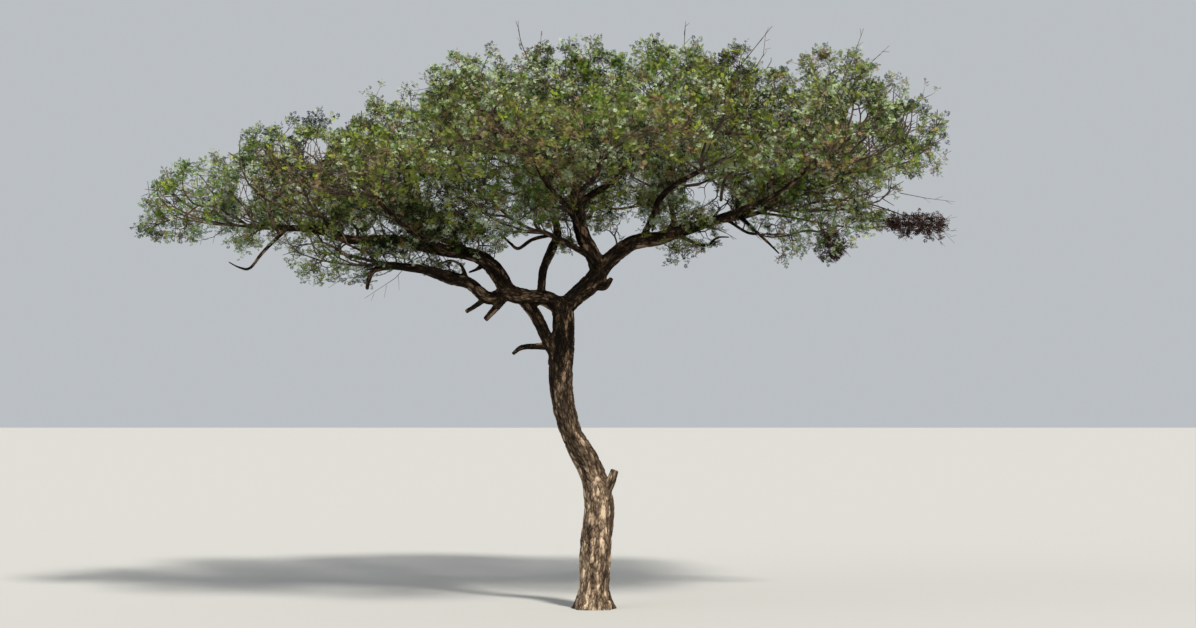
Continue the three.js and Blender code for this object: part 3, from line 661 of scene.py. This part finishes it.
def value_noise(places, seed):
    """Smooth noise from 0 to 1 at each place, with a grain of one unit."""
    home = np.floor(places).astype(np.int64)
    part = places - home
    part = part * part * (3 - 2 * part)
    total = np.zeros(len(places))
    for step in np.ndindex(2, 2, 2):
        weight = np.where(step, part, 1 - part).prod(axis=1)
        total += weight * hashed(home + step, seed)
    return total


def limb_tube(points, radii, is_trunk):
    """A closed tube for one limb, with the trunk's root flare, as points and triangles."""
    along = tangents(points)
    sides = THICK_LIMB_SIDES if radii[0] > THICK_LIMB_RADIUS else THIN_LIMB_SIDES
    turn, after = ring_turns(sides)
    rings = []
    for point, radius, direction, side in zip(points, radii, along, carried_sides(along)):
        reach = radius
        if is_trunk:
            share = min(max(1 - point[2] / FLARE_HEIGHT, 0), 1) ** 2
            reach = radius * (1 + share * FLARE_GROWTH * (1 + FLARE_LOBE_DEPTH * np.cos(FLARE_LOBES * turn)))
        spokes = turned(turn, side, np.cross(direction, side))
        rings.append(point + spokes * np.broadcast_to(reach, sides)[:, None])
    corners = np.vstack(rings)
    k = np.arange(sides)
    faces = []
    for ring in range(0, len(corners) - sides, sides):
        faces.append(np.stack((ring + k, ring + after, ring + sides + after), axis=1))
        faces.append(np.stack((ring + k, ring + sides + after, ring + sides + k), axis=1))
    last = len(corners) - sides
    fan = np.arange(1, sides - 1)
    faces.append(np.stack((0 * fan, fan + 1, fan), axis=1))
    faces.append(np.stack((0 * fan + last, fan + last, fan + last + 1), axis=1))
    return corners, np.vstack(faces)


def limb_tubes(name, limbs):
    """One mesh of all limbs' tubes."""
    points, faces, count = [], [], 0
    for limb_name, (line, radii) in limbs.items():
        corners, triangles = limb_tube(line, radii, limb_name == "trunk")
        points.append(corners)
        faces.append(triangles + count)
        count += len(corners)
    return new_mesh_object(name, np.vstack(points), np.vstack(faces))


def fused(tubes):
    """The tubes fused into a single skin of small, even faces."""
    bpy.context.view_layer.objects.active = tubes
    tubes.select_set(True)
    remesh = tubes.modifiers.new("skin", "REMESH")
    remesh.mode = "VOXEL"
    remesh.voxel_size = BARK_VOXEL * MM
    smooth = tubes.modifiers.new("soften", "SMOOTH")
    smooth.iterations = SMOOTH_ROUNDS
    for name in ("skin", "soften"):
        bpy.ops.object.modifier_apply(modifier=name)
    tubes.select_set(False)
    return tubes


class LimbCoordinates:
    """Where places lie on the limbs: how far along one, which way round it, and how near its skin."""

    def __init__(self, limbs):
        lines = [points for points, _ in limbs.values()]
        along = [tangents(points) for points in lines]
        self.points = np.concatenate(lines)
        self.radii = np.concatenate([radii for _, radii in limbs.values()])
        self.run = np.concatenate([run_along(points) + APART_IN_BARK * k for k, points in enumerate(lines)])
        self.along = np.concatenate(along)
        self.sides = np.concatenate([carried_sides(directions) for directions in along])
        ends = np.cumsum([len(points) for points in lines])
        self.limbs = [slice(end - len(points), end) for end, points in zip(ends, lines)]

    def nearest_two(self, places):
        """How far places are, in radii, from the two limbs whose skins are nearest, and the points there."""
        shares = np.full((len(places), len(self.limbs)), FAR_OFF)
        at = np.tile([limb.start for limb in self.limbs], (len(places), 1))
        for number, limb in enumerate(self.limbs):
            points, radii = self.points[limb], self.radii[limb]
            room = NEAR_LIMB * radii.max() + NEAR_LIMB_ROOM
            inside = (places > points.min(axis=0) - room) & (places < points.max(axis=0) + room)
            near = np.flatnonzero(inside.all(axis=1))
            for part in np.array_split(near, max(1, len(near) // PLACES_AT_ONCE)):
                apart = np.linalg.norm(places[part, None] - points, axis=2)
                best = (apart / radii).argmin(axis=1)
                shares[part, number] = apart[np.arange(len(part)), best] / radii[best]
                at[part, number] += best
        order = np.argsort(shares, axis=1)[:, :2]
        return np.take_along_axis(shares, order, axis=1).T, np.take_along_axis(at, order, axis=1).T

    def ways(self, places, at):
        """Coordinates that run along the limb in z and across it in x and y, and the limb's radius."""
        offset = places - self.points[at]
        along, side = self.along[at], self.sides[at]
        x, y, ahead = ((offset * direction).sum(axis=1) for direction in (side, np.cross(along, side), along))
        return np.stack((x, y, self.run[at] + ahead), axis=1), self.radii[at]


def plates(places):
    """Irregular cells of one unit: how far each place is from its cell's edge, and a number by cell."""
    home = np.floor(places).astype(np.int64)
    nearest, second = np.full((2, len(places)), FAR_OFF)
    number = np.zeros(len(places))
    for step in np.ndindex(3, 3, 3):
        cell = home + step - 1
        middle = cell + np.stack([hashed(cell, seed) for seed in CELL_SEEDS], axis=1)
        apart = np.linalg.norm(places - middle, axis=1)
        closer = apart < nearest
        second = np.where(closer, nearest, np.minimum(second, apart))
        number = np.where(closer, hashed(cell, TONE_SEED), number)
        nearest = np.minimum(nearest, apart)
    return second - nearest, number


def bark_height(ways, radii):
    """The relief of plated bark: its depth, a share from 0 in a furrow to 1 on a plate, and plate tones."""
    warp = np.stack([value_noise(ways / WARP_SIZES, WARP_SEED + k) - 0.5 for k in range(3)], axis=1)
    edge, tone = plates(ways / (PLATE_WIDTH, PLATE_WIDTH, PLATE_LENGTH) + PATTERN_WARP * warp)
    crest = np.clip(edge / PLATE_EDGE, 0, 1)
    crest = crest * crest * (3 - 2 * crest)
    small_lumps = value_noise(ways / (SMALL_LUMP_SIZE * LUMP_LENGTH), SMALL_LUMP_SEED) - 0.5
    lumps = value_noise(ways / LUMP_LENGTH, LUMP_SEED) - 0.5 + SMALL_LUMP_SHARE * small_lumps
    height = crest + PLATE_STEP * (tone - 0.5) - PLATE_BASE
    depth = np.minimum(PLATE_DEPTH * radii, DEEPEST_PLATE) * height
    return depth + 2 * LUMP_DEPTH * radii * lumps, crest, tone


def vertex_values(mesh, name):
    """A vector of each vertex of a mesh."""
    values = np.empty(3 * len(mesh.vertices), np.float32)
    mesh.vertices.foreach_get(name, values)
    return values.reshape(-1, 3).astype(float)


def carve_bark(bark, limbs):
    """Pushes the bark's skin in and out along its normals, and keeps relief and limb coordinates on it."""
    mesh = bark.data
    places = vertex_values(mesh, "co") / MM
    coordinates = LimbCoordinates(limbs)
    (share, next_share), (at, next_at) = coordinates.nearest_two(places)
    weight = 0.5 + 0.5 * np.clip((next_share - share) / LIMB_BLEND, 0, 1)
    ways, radii = coordinates.ways(places, at)
    relief = np.stack(bark_height(ways, radii), axis=1)
    shared = np.flatnonzero(weight < 1)
    next_ways, next_radii = coordinates.ways(places[shared], next_at[shared])
    own = weight[shared, None]
    relief[shared] = own * relief[shared] + (1 - own) * np.stack(bark_height(next_ways, next_radii), axis=1)
    depth, crest, tone = relief.T
    places += vertex_values(mesh, "normal") * depth[:, None]
    mesh.vertices.foreach_set("co", (places * MM).astype(np.float32).ravel())
    for name, values in (("crest", crest), ("tone", tone)):
        mesh.attributes.new(name, "FLOAT", "POINT").data.foreach_set("value", values.astype(np.float32))
    way = mesh.attributes.new("way", "FLOAT_VECTOR", "POINT")
    way.data.foreach_set("vector", (ways * MM).astype(np.float32).ravel())
    mesh.update()


def cut_at_ground(bark):
    """Cuts the skin flat at ground level and closes the cut."""
    cut = bmesh.new()
    cut.from_mesh(bark.data)
    geometry = cut.verts[:] + cut.edges[:] + cut.faces[:]
    down = (0, 0, -1)
    made = bmesh.ops.bisect_plane(cut, geom=geometry, plane_co=(0, 0, 0), plane_no=down, clear_outer=True)
    rim = [piece for piece in made["geom_cut"] if isinstance(piece, bmesh.types.BMEdge)]
    bmesh.ops.contextual_create(cut, geom=rim)
    cut.to_mesh(bark.data)
    cut.free()


def make_material(name, colour, roughness, shine):
    """A material of one plain colour."""
    material = bpy.data.materials.new(name)
    material.use_nodes = True
    shader = material.node_tree.nodes["Principled BSDF"]
    shader.inputs["Base Color"].default_value = (*colour, 1)
    shader.inputs["Roughness"].default_value = roughness
    shader.inputs["Specular IOR Level"].default_value = shine
    return material


def add_node(tree, kind, inputs, **settings):
    """A shader node with its settings and inputs. An input is a value or another node's output."""
    node = tree.nodes.new("ShaderNode" + kind)
    for name, value in settings.items():
        setattr(node, name, value)
    for key, value in inputs.items():
        if isinstance(value, bpy.types.NodeSocket):
            tree.links.new(value, node.inputs[key])
        else:
            node.inputs[key].default_value = value
    return node


def add_noise(tree, vector, scale, detail):
    """A noise texture's value."""
    inputs = {"Vector": vector, "Scale": scale, "Detail": detail, "Roughness": 0.6}
    return add_node(tree, "TexNoise", inputs).outputs["Fac"]


def add_ramp(tree, value, stops):
    """The colour that a ramp of places and colours gives a value."""
    ramp = add_node(tree, "ValToRGB", {"Fac": value})
    elements = ramp.color_ramp.elements
    while len(elements) < len(stops):
        elements.new(0.5)
    for element, (place, colour) in zip(elements, stops):
        element.position = place
        element.color = (*colour, 1)
    return ramp.outputs["Color"]


def add_cracks(tree, vector):
    """A value from 0 in the fine cracks between small bark plates to 1 on the plates."""
    warp = add_node(tree, "TexNoise", {"Vector": vector, "Scale": CRACK_WARP_PER_METRE}).outputs["Color"]
    warped = add_node(tree, "VectorMath", {0: warp, 1: CRACK_WARP, 2: vector}, operation="MULTIPLY_ADD")
    cells = add_node(
        tree, "TexVoronoi", {"Vector": warped.outputs["Vector"], "Scale": SMALL_PLATES_PER_METRE},
        feature="DISTANCE_TO_EDGE")
    step = add_node(
        tree, "MapRange", {"Value": cells.outputs["Distance"], "From Max": CRACK_WIDTH},
        interpolation_type="SMOOTHSTEP")
    return step.outputs["Result"]


# Bark colours from the furrows to the palest plates, at the trunk's foot and on the boughs, dark bark with
# painted shade
FOOT_COLOURS = (
    (0.3, (0.012, 0.008, 0.005)), (0.5, (0.055, 0.037, 0.024)), (0.68, (0.15, 0.107, 0.071)),
    (0.9, (0.43, 0.325, 0.225)))
BOUGH_COLOURS_WITH_PAINTED_SHADE = (
    (0.3, (0.002, 0.0012, 0.0006)), (0.5, (0.007, 0.0043, 0.0022)), (0.68, (0.029, 0.018, 0.01)),
    (0.9, (0.18, 0.12, 0.075)))
TONE_SHARES = (0.3, 0.16, 0.14, 0.5)  # of the plate's own tone, its crest, the fine cracks and the grain
TONE_SHIFT = 0.5
FOOT_HEIGHT = 0.9  # in metres: up to here the bark has the foot's colours
BOUGH_HEIGHT = 3.3  # and from here the boughs', with their painted shade


def bark_tones(tree):
    """The bark's tone, lowest in the furrows and highest on the palest plates, and its fine grain."""
    names = ("crest", "tone", "way")
    crest, plate, way = (add_node(tree, "Attribute", {}, attribute_name=name) for name in names)
    way = add_node(tree, "Mapping", {"Vector": way.outputs["Vector"], "Scale": (1, 1, 0.3)}).outputs["Vector"]
    tone = add_noise(tree, way, scale=8, detail=2)
    grain = add_noise(tree, way, scale=80, detail=5)
    parts = (plate.outputs["Fac"], crest.outputs["Fac"], add_cracks(tree, way), grain)
    for part, share in zip(parts, TONE_SHARES):
        tone = add_node(tree, "Math", {0: part, 1: share, 2: tone}, operation="MULTIPLY_ADD").outputs["Value"]
    return add_node(tree, "Math", {0: tone, 1: TONE_SHIFT}, operation="SUBTRACT").outputs["Value"], grain


def mixed_by_height(tree, low_colour, high_colour):
    """One colour at the tree's foot, the other on its boughs, and a blend in between."""
    position = add_node(tree, "NewGeometry", {}).outputs["Position"]
    height = add_node(tree, "SeparateXYZ", {"Vector": position}).outputs["Z"]
    rise = add_node(tree, "MapRange", {"Value": height, "From Min": FOOT_HEIGHT, "From Max": BOUGH_HEIGHT})
    mix = add_node(tree, "Mix", {"Factor": rise.outputs["Result"]}, data_type="RGBA")
    colour_sockets = [socket for socket in mix.inputs if socket.type == "RGBA"]
    for colour, socket in zip((low_colour, high_colour), colour_sockets):
        tree.links.new(colour, socket)
    return next(socket for socket in mix.outputs if socket.type == "RGBA")


def bark_material():
    """Dark furrows and plates of uneven tone, pale at the foot, on the boughs nearly black: dark bark and
    painted shade.
    """
    material = make_material("bark", (0.1, 0.07, 0.05), roughness=0.92, shine=0.08)
    tree = material.node_tree
    shader = tree.nodes["Principled BSDF"]
    tone, grain = bark_tones(tree)
    foot, bough = (add_ramp(tree, tone, stops) for stops in (FOOT_COLOURS, BOUGH_COLOURS_WITH_PAINTED_SHADE))
    # darker upward: partly the boughs' own dark bark, partly painted shade of the crown
    tree.links.new(mixed_by_height(tree, foot, bough), shader.inputs["Base Color"])
    bump = add_node(tree, "Bump", {"Strength": 0.8, "Distance": 0.008, "Height": grain})
    tree.links.new(bump.outputs["Normal"], shader.inputs["Normal"])
    return material


def keep_height(piece, low, high):
    """Deletes a piece's faces whose middle isn't between two heights."""
    mesh = bmesh.new()
    mesh.from_mesh(piece.data)
    outside = [face for face in mesh.faces if not low * MM <= face.calc_center_median().z < high * MM]
    bmesh.ops.delete(mesh, geom=outside, context="FACES")
    mesh.to_mesh(piece.data)
    mesh.free()


def make_bark(limbs):
    """The bark over the trunk and the routed boughs, in two pieces, and over the feeder boughs."""
    routed = {name: limb for name, limb in limbs.items() if name in ROUTES or "_snag_" in name}
    feeders = {name: limb for name, limb in limbs.items() if name not in routed}
    material = bark_material()
    trunk = fused(limb_tubes("trunk_bark", routed))
    carve_bark(trunk, routed)
    cut_at_ground(trunk)
    boughs = placed("bough_bark", trunk.data.copy())
    boughs.data.name = "bough_bark"
    keep_height(trunk, -math.inf, BARK_SPLIT)
    keep_height(boughs, BARK_SPLIT, math.inf)
    feeder_bark = limb_tubes("feeder_bark", feeders)
    carve_bark(feeder_bark, feeders)
    for piece in (trunk, boughs, feeder_bark):
        piece.data.materials.append(material)
        piece.data.shade_smooth()
    return trunk, boughs, feeder_bark


def spiral_round(starts, ends, random):
    """A function that gives the directions in which things lean away from twigs, turn by turn round them."""
    along = unit(ends - starts)
    side, other = square_frames(along)
    first_turn = random.random_sample(len(starts)) * 2 * math.pi

    def directions(number, lean, spread):
        leans = lean + spread * (random.random_sample(len(starts)) - 0.5)
        return turned(leans, along, turned(first_turn + SPIRAL_TURN * number, side, other))
    return directions


def side_twigs(starts, ends, light, random):
    """Short side twigs on each end twig, more of them in good light, as roots, tips and end twig."""
    directions = spiral_round(starts, ends, random)
    roots, tips, owners = [], [], []
    for k, share in enumerate(SIDE_TWIG_PLACES):
        kept = random.random_sample(len(starts)) < light * (len(SIDE_TWIG_PLACES) + 1) - k
        leaning = directions(k, SIDE_TWIG_LEAN if k else TIP_TWIG_LEAN, TWIG_LEAN_SPREAD)
        way = unit(leaning + TWIG_RISE * Z_AXIS)
        root = starts + (ends - starts) * share
        length = varied(SIDE_TWIG_LENGTH, 0.4, random.random_sample(len(starts)))
        roots.append(root[kept])
        tips.append((root + way * length[:, None])[kept])
        owners.append(np.flatnonzero(kept))
    return np.vstack(roots), np.vstack(tips), np.concatenate(owners)


def pinna_leaf():
    """One feathery leaf in millimetres: pairs of narrow blades and a last one, each a triangle."""
    points, faces = [], []
    blades = [(FIRST_PINNA + PINNA_SPACING * pair, hand) for pair in range(PINNA_PAIRS) for hand in (-1, 1)]
    blades.append((LAST_PINNA, 0))
    for share, hand in blades:
        base = np.array((share * LEAF_LENGTH, 0, 0))
        way = unit(np.array(PINNA_WAY) * (1, hand, abs(hand)))
        across = np.array((-way[1], way[0], 0.1)) * 0.5 * PINNA_WIDTH
        middle = base + PINNA_WIDEST * PINNA_LENGTH * way
        first = len(points)
        points += [base, middle + across, base + PINNA_LENGTH * way - 0.6 * across]
        faces.append((first, first + 1, first + 2))
    return np.array(points), np.array(faces)


def leaves_along(roots, tips, random):
    """Leaves in a tuft at the tip of each side twig: place, heading and upward direction of each."""
    directions = spiral_round(roots, tips, random)
    places, headings, ups = [], [], []
    last = LEAVES_PER_SIDE_TWIG - 1
    for k in range(LEAVES_PER_SIDE_TWIG):
        leaning = directions(k, TIP_LEAF_LEAN if k == last else SIDE_LEAF_LEAN, LEAF_LEAN_SPREAD)
        places.append(roots + (tips - roots) * (FIRST_LEAF_PLACE + (1 - FIRST_LEAF_PLACE) * k / last))
        headings.append(unit(leaning * (1, 1, LEAF_FLATNESS)))
        ups.append(unit(Z_AXIS + LEAF_ROLL * (random.random_sample(roots.shape) - 0.5)))
    return np.vstack(places), np.vstack(headings), np.vstack(ups)


def leaf_mesh(places, headings, ups, scales):
    """All leaves as points and triangles."""
    shape, faces = pinna_leaf()
    across = unit(np.cross(ups, headings))
    ups = np.cross(headings, across)
    basis = np.stack((headings, across, ups), axis=1)
    points = places[:, None, :] + np.einsum("vk,nkc->nvc", shape, basis) * scales[:, None, None]
    triangles = faces[None] + (np.arange(len(places)) * len(shape))[:, None, None]
    return points.reshape(-1, 3), triangles.reshape(-1, 3)


# Leaf colours: base colour and share of the sprays
LEAF_COLOURS = {
    "leaf_olive": ((0.118, 0.136, 0.03), 0.22),
    "leaf_green": ((0.06, 0.108, 0.011), 0.2),
    # near-black leaves: painted shade that stands in for the dark gaps in the crown
    "leaf_painted_shade": ((0.008, 0.013, 0.003), 0.23),
    "leaf_grey": ((0.25, 0.305, 0.18), 0.18),
    "leaf_yellow": ((0.17, 0.2, 0.02), 0.06),
    "leaf_brown": ((0.16, 0.11, 0.05), 0.12),
}
DEAD_LEAF_COLOUR = (0.028, 0.012, 0.009)
PATCH_SIZE = 900  # of the crown where one leaf colour is commoner
PATCH_SEED = 40
LEAST_IN_PATCH = 0.15  # of a colour's share, where it is rarest
MOST_IN_PATCH = 6
BROWN_IN_SHADE = 2.2  # how much commoner brown leaves are in full shade, with the least and most anywhere
BROWN_LIMITS = (0.25, 2)
# painted shade: how much commoner the near-black leaves are in full shade, and how much of that they lose in
# full light
PAINTED_SHADE_LEAVES_IN_SHADE = 1.55
PAINTED_SHADE_LEAVES_LOST_IN_LIGHT = 0.65
TWIG_COLOURS = ((0.35, (0.014, 0.009, 0.006)), (0.72, (0.14, 0.1, 0.07)))


def leaf_light(places, owners, masses):
    """How much light each twig end gets, from 0 to 1: most on the upper and outer side of its mass."""
    light = np.full(len(places), LIMB_SHOOT_LIGHT)
    for number, mass in enumerate(masses):
        mine = np.flatnonzero(owners == number)
        offset = (places[mine] - mass.centre) / mass.half
        far = np.linalg.norm(offset, axis=1)
        good = MIDDLE_LIGHT + LIGHT_BY_HEIGHT * offset[:, 2] + LIGHT_BY_DEPTH * far
        good = np.where(far > MASS_BORDER, MASS_SHOOT_LIGHT, good)
        least = FULL_MASSES.get(mass.name, LEAST_LIGHT)
        light[mine] = np.clip(good, least, 1) * THIN_MASSES.get(mass.name, 1)
    return light


def leaf_colours(places, light, random):
    """The number of the colour that each spray has. Each colour is commoner in patches of its own, brown
    leaves in the shade, and the near-black leaves, which are painted shade, most of all in the shade."""
    shares = np.array([share for _, share in LEAF_COLOURS.values()])
    pull = np.stack([value_noise(places / PATCH_SIZE, PATCH_SEED + k) for k in range(len(shares))], axis=1)
    weights = shares * (LEAST_IN_PATCH + pull**3 * MOST_IN_PATCH)
    names = list(LEAF_COLOURS)
    weights[:, names.index("leaf_brown")] *= np.clip(BROWN_IN_SHADE * (1 - light), *BROWN_LIMITS)
    # the near-black leaves are painted shade, commoner where a spray gets less light
    weights[:, names.index("leaf_painted_shade")] *= PAINTED_SHADE_LEAVES_IN_SHADE - PAINTED_SHADE_LEAVES_LOST_IN_LIGHT * light
    steps = np.cumsum(weights / weights.sum(axis=1, keepdims=True), axis=1)
    return (random.random_sample(len(places))[:, None] > steps[:, :-1]).sum(axis=1)


def twig_material(name):
    """Dark brown twigs, in places greyer and paler."""
    material = make_material(name, (0.05, 0.035, 0.026), roughness=0.9, shine=0.1)
    tree = material.node_tree
    position = add_node(tree, "NewGeometry", {}).outputs["Position"]
    tone = add_noise(tree, position, scale=9, detail=4)
    tree.links.new(add_ramp(tree, tone, TWIG_COLOURS), tree.nodes["Principled BSDF"].inputs["Base Color"])
    return material


def twig_tubes(twigs, chosen, steps, sides):
    """Tubes along the chosen twigs, from columns of starts, bends, ends and radii."""
    starts, bends, ends, first, last = (column[chosen] for column in twigs)
    t = np.linspace(0, 1, steps + 1)
    return prisms(bent_lines(starts, bends, ends, steps), first[:, None] * (1 - t) + last[:, None] * t, sides)


def make_twigs(twigs, is_last):
    """Round branches, three-sided twigs and straight end twigs, as two pieces."""
    material = twig_material("twig")
    thick = twigs[3] > BRANCH_RADIUS
    branches = new_mesh_object("branches", *twig_tubes(twigs, thick, steps=5, sides=6), material)
    branches.data.shade_smooth()
    points, faces = twig_tubes(twigs, ~thick & ~is_last, steps=2, sides=3)
    end_points, end_faces = twig_tubes(twigs, is_last, steps=1, sides=3)
    points, faces = np.vstack((points, end_points)), np.vstack((faces, end_faces + len(points)))
    return [branches, new_mesh_object("twigs", points, faces, material)]


def make_side_twigs(roots, tips):
    """Side twigs as slim three-sided spikes."""
    side, other = square_frames(unit(tips - roots))
    ring = roots[:, None] + SIDE_TWIG_RADIUS * turned(ring_turns(3)[0], side[:, None], other[:, None])
    points = np.concatenate((ring, tips[:, None]), axis=1).reshape(-1, 3)
    faces = np.array(((0, 1, 3), (1, 2, 3), (2, 0, 3))) + 4 * np.arange(len(roots))[:, None, None]
    return new_mesh_object("side_twigs", points, faces.reshape(-1, 3), twig_material("side_twig"))


def grow_bare_shoot(twigs, foot, bend, tip, radius, random):
    """A long bare shoot with a few short side twigs."""
    twigs.append((foot, bend, tip, radius, BARE_SHOOT_TAPER * radius, False, LIMB_SHOOT))
    first, last = (radius * share for share in SIDE_SHOOT_RADII)
    length = np.linalg.norm(tip - foot)
    for share in SIDE_SHOOT_PLACES:
        start = foot * (1 - share) ** 2 + 2 * bend * share * (1 - share) + tip * share**2
        way = unit(unit(tip - foot) + SIDE_SHOOT_SPREAD * (drawn(random, 3) - 0.5))
        end = start + way * (SIDE_SHOOT_LENGTH - SIDE_SHOOT_SHORTENING * share) * length
        twigs.append((start, 0.5 * (start + end), end, first, last, False, LIMB_SHOOT))


def grow_bare_shoots(twigs):
    """The long bare shoots that have places of their own."""
    random = seeded(BARE_SHOOT_SEED)
    for foot, tip, radius in BARE_SHOOTS:
        foot, tip = np.array(foot, float), np.array(tip, float)
        sway = (drawn(random, 3) - 0.5) * BARE_SHOOT_SWAY * np.linalg.norm(tip - foot)
        grow_bare_shoot(twigs, foot, 0.5 * (foot + tip) + sway, tip, radius, random)


def grow_outer_branches(twigs, masses, limbs):
    """Long branches from each mass's bough, out under the mass and up its outer side."""
    random = seeded(OUTER_BRANCH_SEED)
    for mass in masses:
        outward = math.atan2(mass.centre[1], mass.centre[0])
        for k in range(OUTER_BRANCHES if mass.mean_half > SHOWN_MASS else 0):
            turn = outward + (k + next(random) - OUTER_BRANCHES / 2) * math.pi / OUTER_BRANCHES
            lean = turn + OUTER_BRANCH_SWAY * (next(random) - 0.5)
            bend = mass.centre + mass.half * (math.cos(turn), math.sin(turn), OUTER_BEND_HEIGHT)
            reach = OUTER_TIP_REACH * np.array((math.cos(lean), math.sin(lean)))
            tip = mass.centre + mass.half * (*reach, OUTER_TIP_HEIGHT)
            radius = varied(OUTER_BRANCH_RADIUS, 0.3, next(random))
            grow_bare_shoot(twigs, limbs[mass.limb][0][-1], bend, tip, radius, random)


def grow_clumps(twigs):
    """Small clumps of twigs, each on a branch of its own."""
    random = seeded(CLUMP_SEED)
    for foot, middle, radius, count in DEAD_CLUMPS + LIVING_CLUMPS:
        spread = 2 * drawn(random, count, 3) - 1
        foot, middle = np.array(foot, float), np.array(middle, float)
        grow(twigs, LIMB_SHOOT, foot, unit(middle - foot), middle + spread * radius, SHOOT_GROWTH, random)


def are_dead(ends, owners, masses):
    """Whether each twig end is in a dead mass or a dead clump."""
    dead = np.isin(owners, [k for k, mass in enumerate(masses) if mass.name in DEAD_MASSES])
    for _, middle, radius, _ in DEAD_CLUMPS:
        dead |= np.linalg.norm(ends - middle, axis=1) < DEAD_ROUND_CLUMP * radius
    return dead


def in_openings(places):
    """Whether the camera sees each place in one of the crown's openings."""
    eye = np.array((CAMERA_X, -CAMERA_DISTANCE, CAMERA_HEIGHT)) / MM
    ahead = places - eye
    seen = eye + ahead * (-eye[1] / ahead[:, 1:2])
    inside = np.zeros(len(places), bool)
    for x, z, radius in OPENINGS:
        inside |= np.hypot(seen[:, 0] - x, seen[:, 2] - z) < radius
    return inside


def make_foliage(masses, coarse_limbs, fine_limbs):
    """Branches, twigs and leaves of all masses and limbs, as pieces of their own."""
    twigs = []
    for number, mass in enumerate(masses):
        grow_mass(twigs, number, mass, masses, coarse_limbs)
    grow_all_limb_shoots(twigs, fine_limbs)
    grow_bare_shoots(twigs)
    grow_outer_branches(twigs, masses, coarse_limbs)
    grow_clumps(twigs)
    *shapes, is_last, owners = (np.array(column) for column in zip(*twigs))
    kept = ~(is_last & in_openings(shapes[2]))
    pieces = make_twigs([column[kept] for column in shapes], is_last[kept])

    random = np.random.RandomState(LEAF_SEED)
    starts, _, ends = (column[kept & is_last] for column in shapes[:3])
    owners = owners[kept & is_last]
    light = leaf_light(ends, owners, masses)
    roots, tips, twig = side_twigs(starts, ends, light, random)
    shown = ~in_openings(tips)
    roots, tips, twig = roots[shown], tips[shown], twig[shown]
    pieces.append(make_side_twigs(roots, tips))
    colour = leaf_colours(tips, light[twig], random)
    dead = are_dead(ends, owners, masses)[twig]
    for number, name in enumerate([*LEAF_COLOURS, "leaf_dead"]):
        chosen = dead if name == "leaf_dead" else (colour == number) & ~dead
        places, headings, ups = leaves_along(roots[chosen], tips[chosen], random)
        scales = varied(1, 0.25, random.random_sample(len(places)))
        points, faces = leaf_mesh(places, headings, ups, scales)
        tone = DEAD_LEAF_COLOUR if name == "leaf_dead" else LEAF_COLOURS[name][0]
        material = make_material(name, tone, roughness=0.7, shine=0.1)
        pieces.append(new_mesh_object(name, points, faces, material))
    return pieces


FLOOR_SIZE = 240000
FLOOR_COLOUR = (0.36, 0.355, 0.34)
SKY_COLOUR = (0.9, 0.95, 1.0)
SKY_STRENGTH = 0.55
SUNS = {
    "key": ((-0.4, 0.85, -0.82), 6.7, 8, (1.0, 0.96, 0.88)),
    "fill": ((0.7, 0.5, -0.35), 1.5, 60, (0.92, 0.96, 1.0)),
}  # direction, strength, width in degrees and colour


def make_camera():
    """The camera, tilted up so that the horizon is where it is in the photo."""
    camera = placed("camera", bpy.data.cameras.new("camera"))
    camera.data.sensor_width = SENSOR
    camera.data.lens = SENSOR * CAMERA_DISTANCE / VIEW_WIDTH
    camera.location = (CAMERA_X, -CAMERA_DISTANCE, CAMERA_HEIGHT)
    tilt = math.atan2(HORIZON_BELOW_MIDDLE, CAMERA_DISTANCE)
    camera.rotation_euler = (math.pi / 2 + tilt, 0, 0)
    bpy.context.scene.camera = camera


def make_sun(name, direction, strength, width, colour):
    """A sun that shines along a direction, with shadows as soft as it is wide."""
    lamp = bpy.data.lights.new(name, "SUN")
    lamp.energy = strength
    lamp.angle = math.radians(width)
    lamp.color = colour
    placed(name, lamp).rotation_euler = Vector(direction).to_track_quat("-Z", "Y").to_euler()


def make_studio():
    """A pale floor, a pale surround and two soft suns."""
    bpy.context.scene.view_settings.view_transform = "Standard"
    corners = np.array(((-1, -1, 0), (1, -1, 0), (1, 1, 0), (-1, 1, 0))) * FLOOR_SIZE / 2
    material = make_material("floor", FLOOR_COLOUR, roughness=0.9, shine=0.25)
    new_mesh_object("floor", corners, [(0, 1, 2, 3)], material)
    world = bpy.data.worlds.new("surround")
    world.use_nodes = True
    background = world.node_tree.nodes["Background"]
    background.inputs["Color"].default_value = (*SKY_COLOUR, 1)
    background.inputs["Strength"].default_value = SKY_STRENGTH
    bpy.context.scene.world = world
    for name, settings in SUNS.items():
        make_sun(name, *settings)


def declare(piece, nodes):
    """Hides the solids that a piece takes the place of, and hangs the piece on the tree's root body."""
    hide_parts(*[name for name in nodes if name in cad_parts])
    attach(piece, "root")


masses = [Mass(name, *row) for name, row in MASSES.items()]
coarse_limbs, fine_limbs = make_limbs(masses)
trunk_bark, bough_bark, feeder_bark = make_bark(fine_limbs)
declare(trunk_bark, ("trunk", "second_stem"))
declare(bough_bark, ROUTES)
declare(feeder_bark, [name for name in fine_limbs if name not in ROUTES])
for piece in make_foliage(masses, coarse_limbs, fine_limbs):
    declare(piece, [mass.name + "_foliage" for mass in masses])
make_camera()
make_studio()
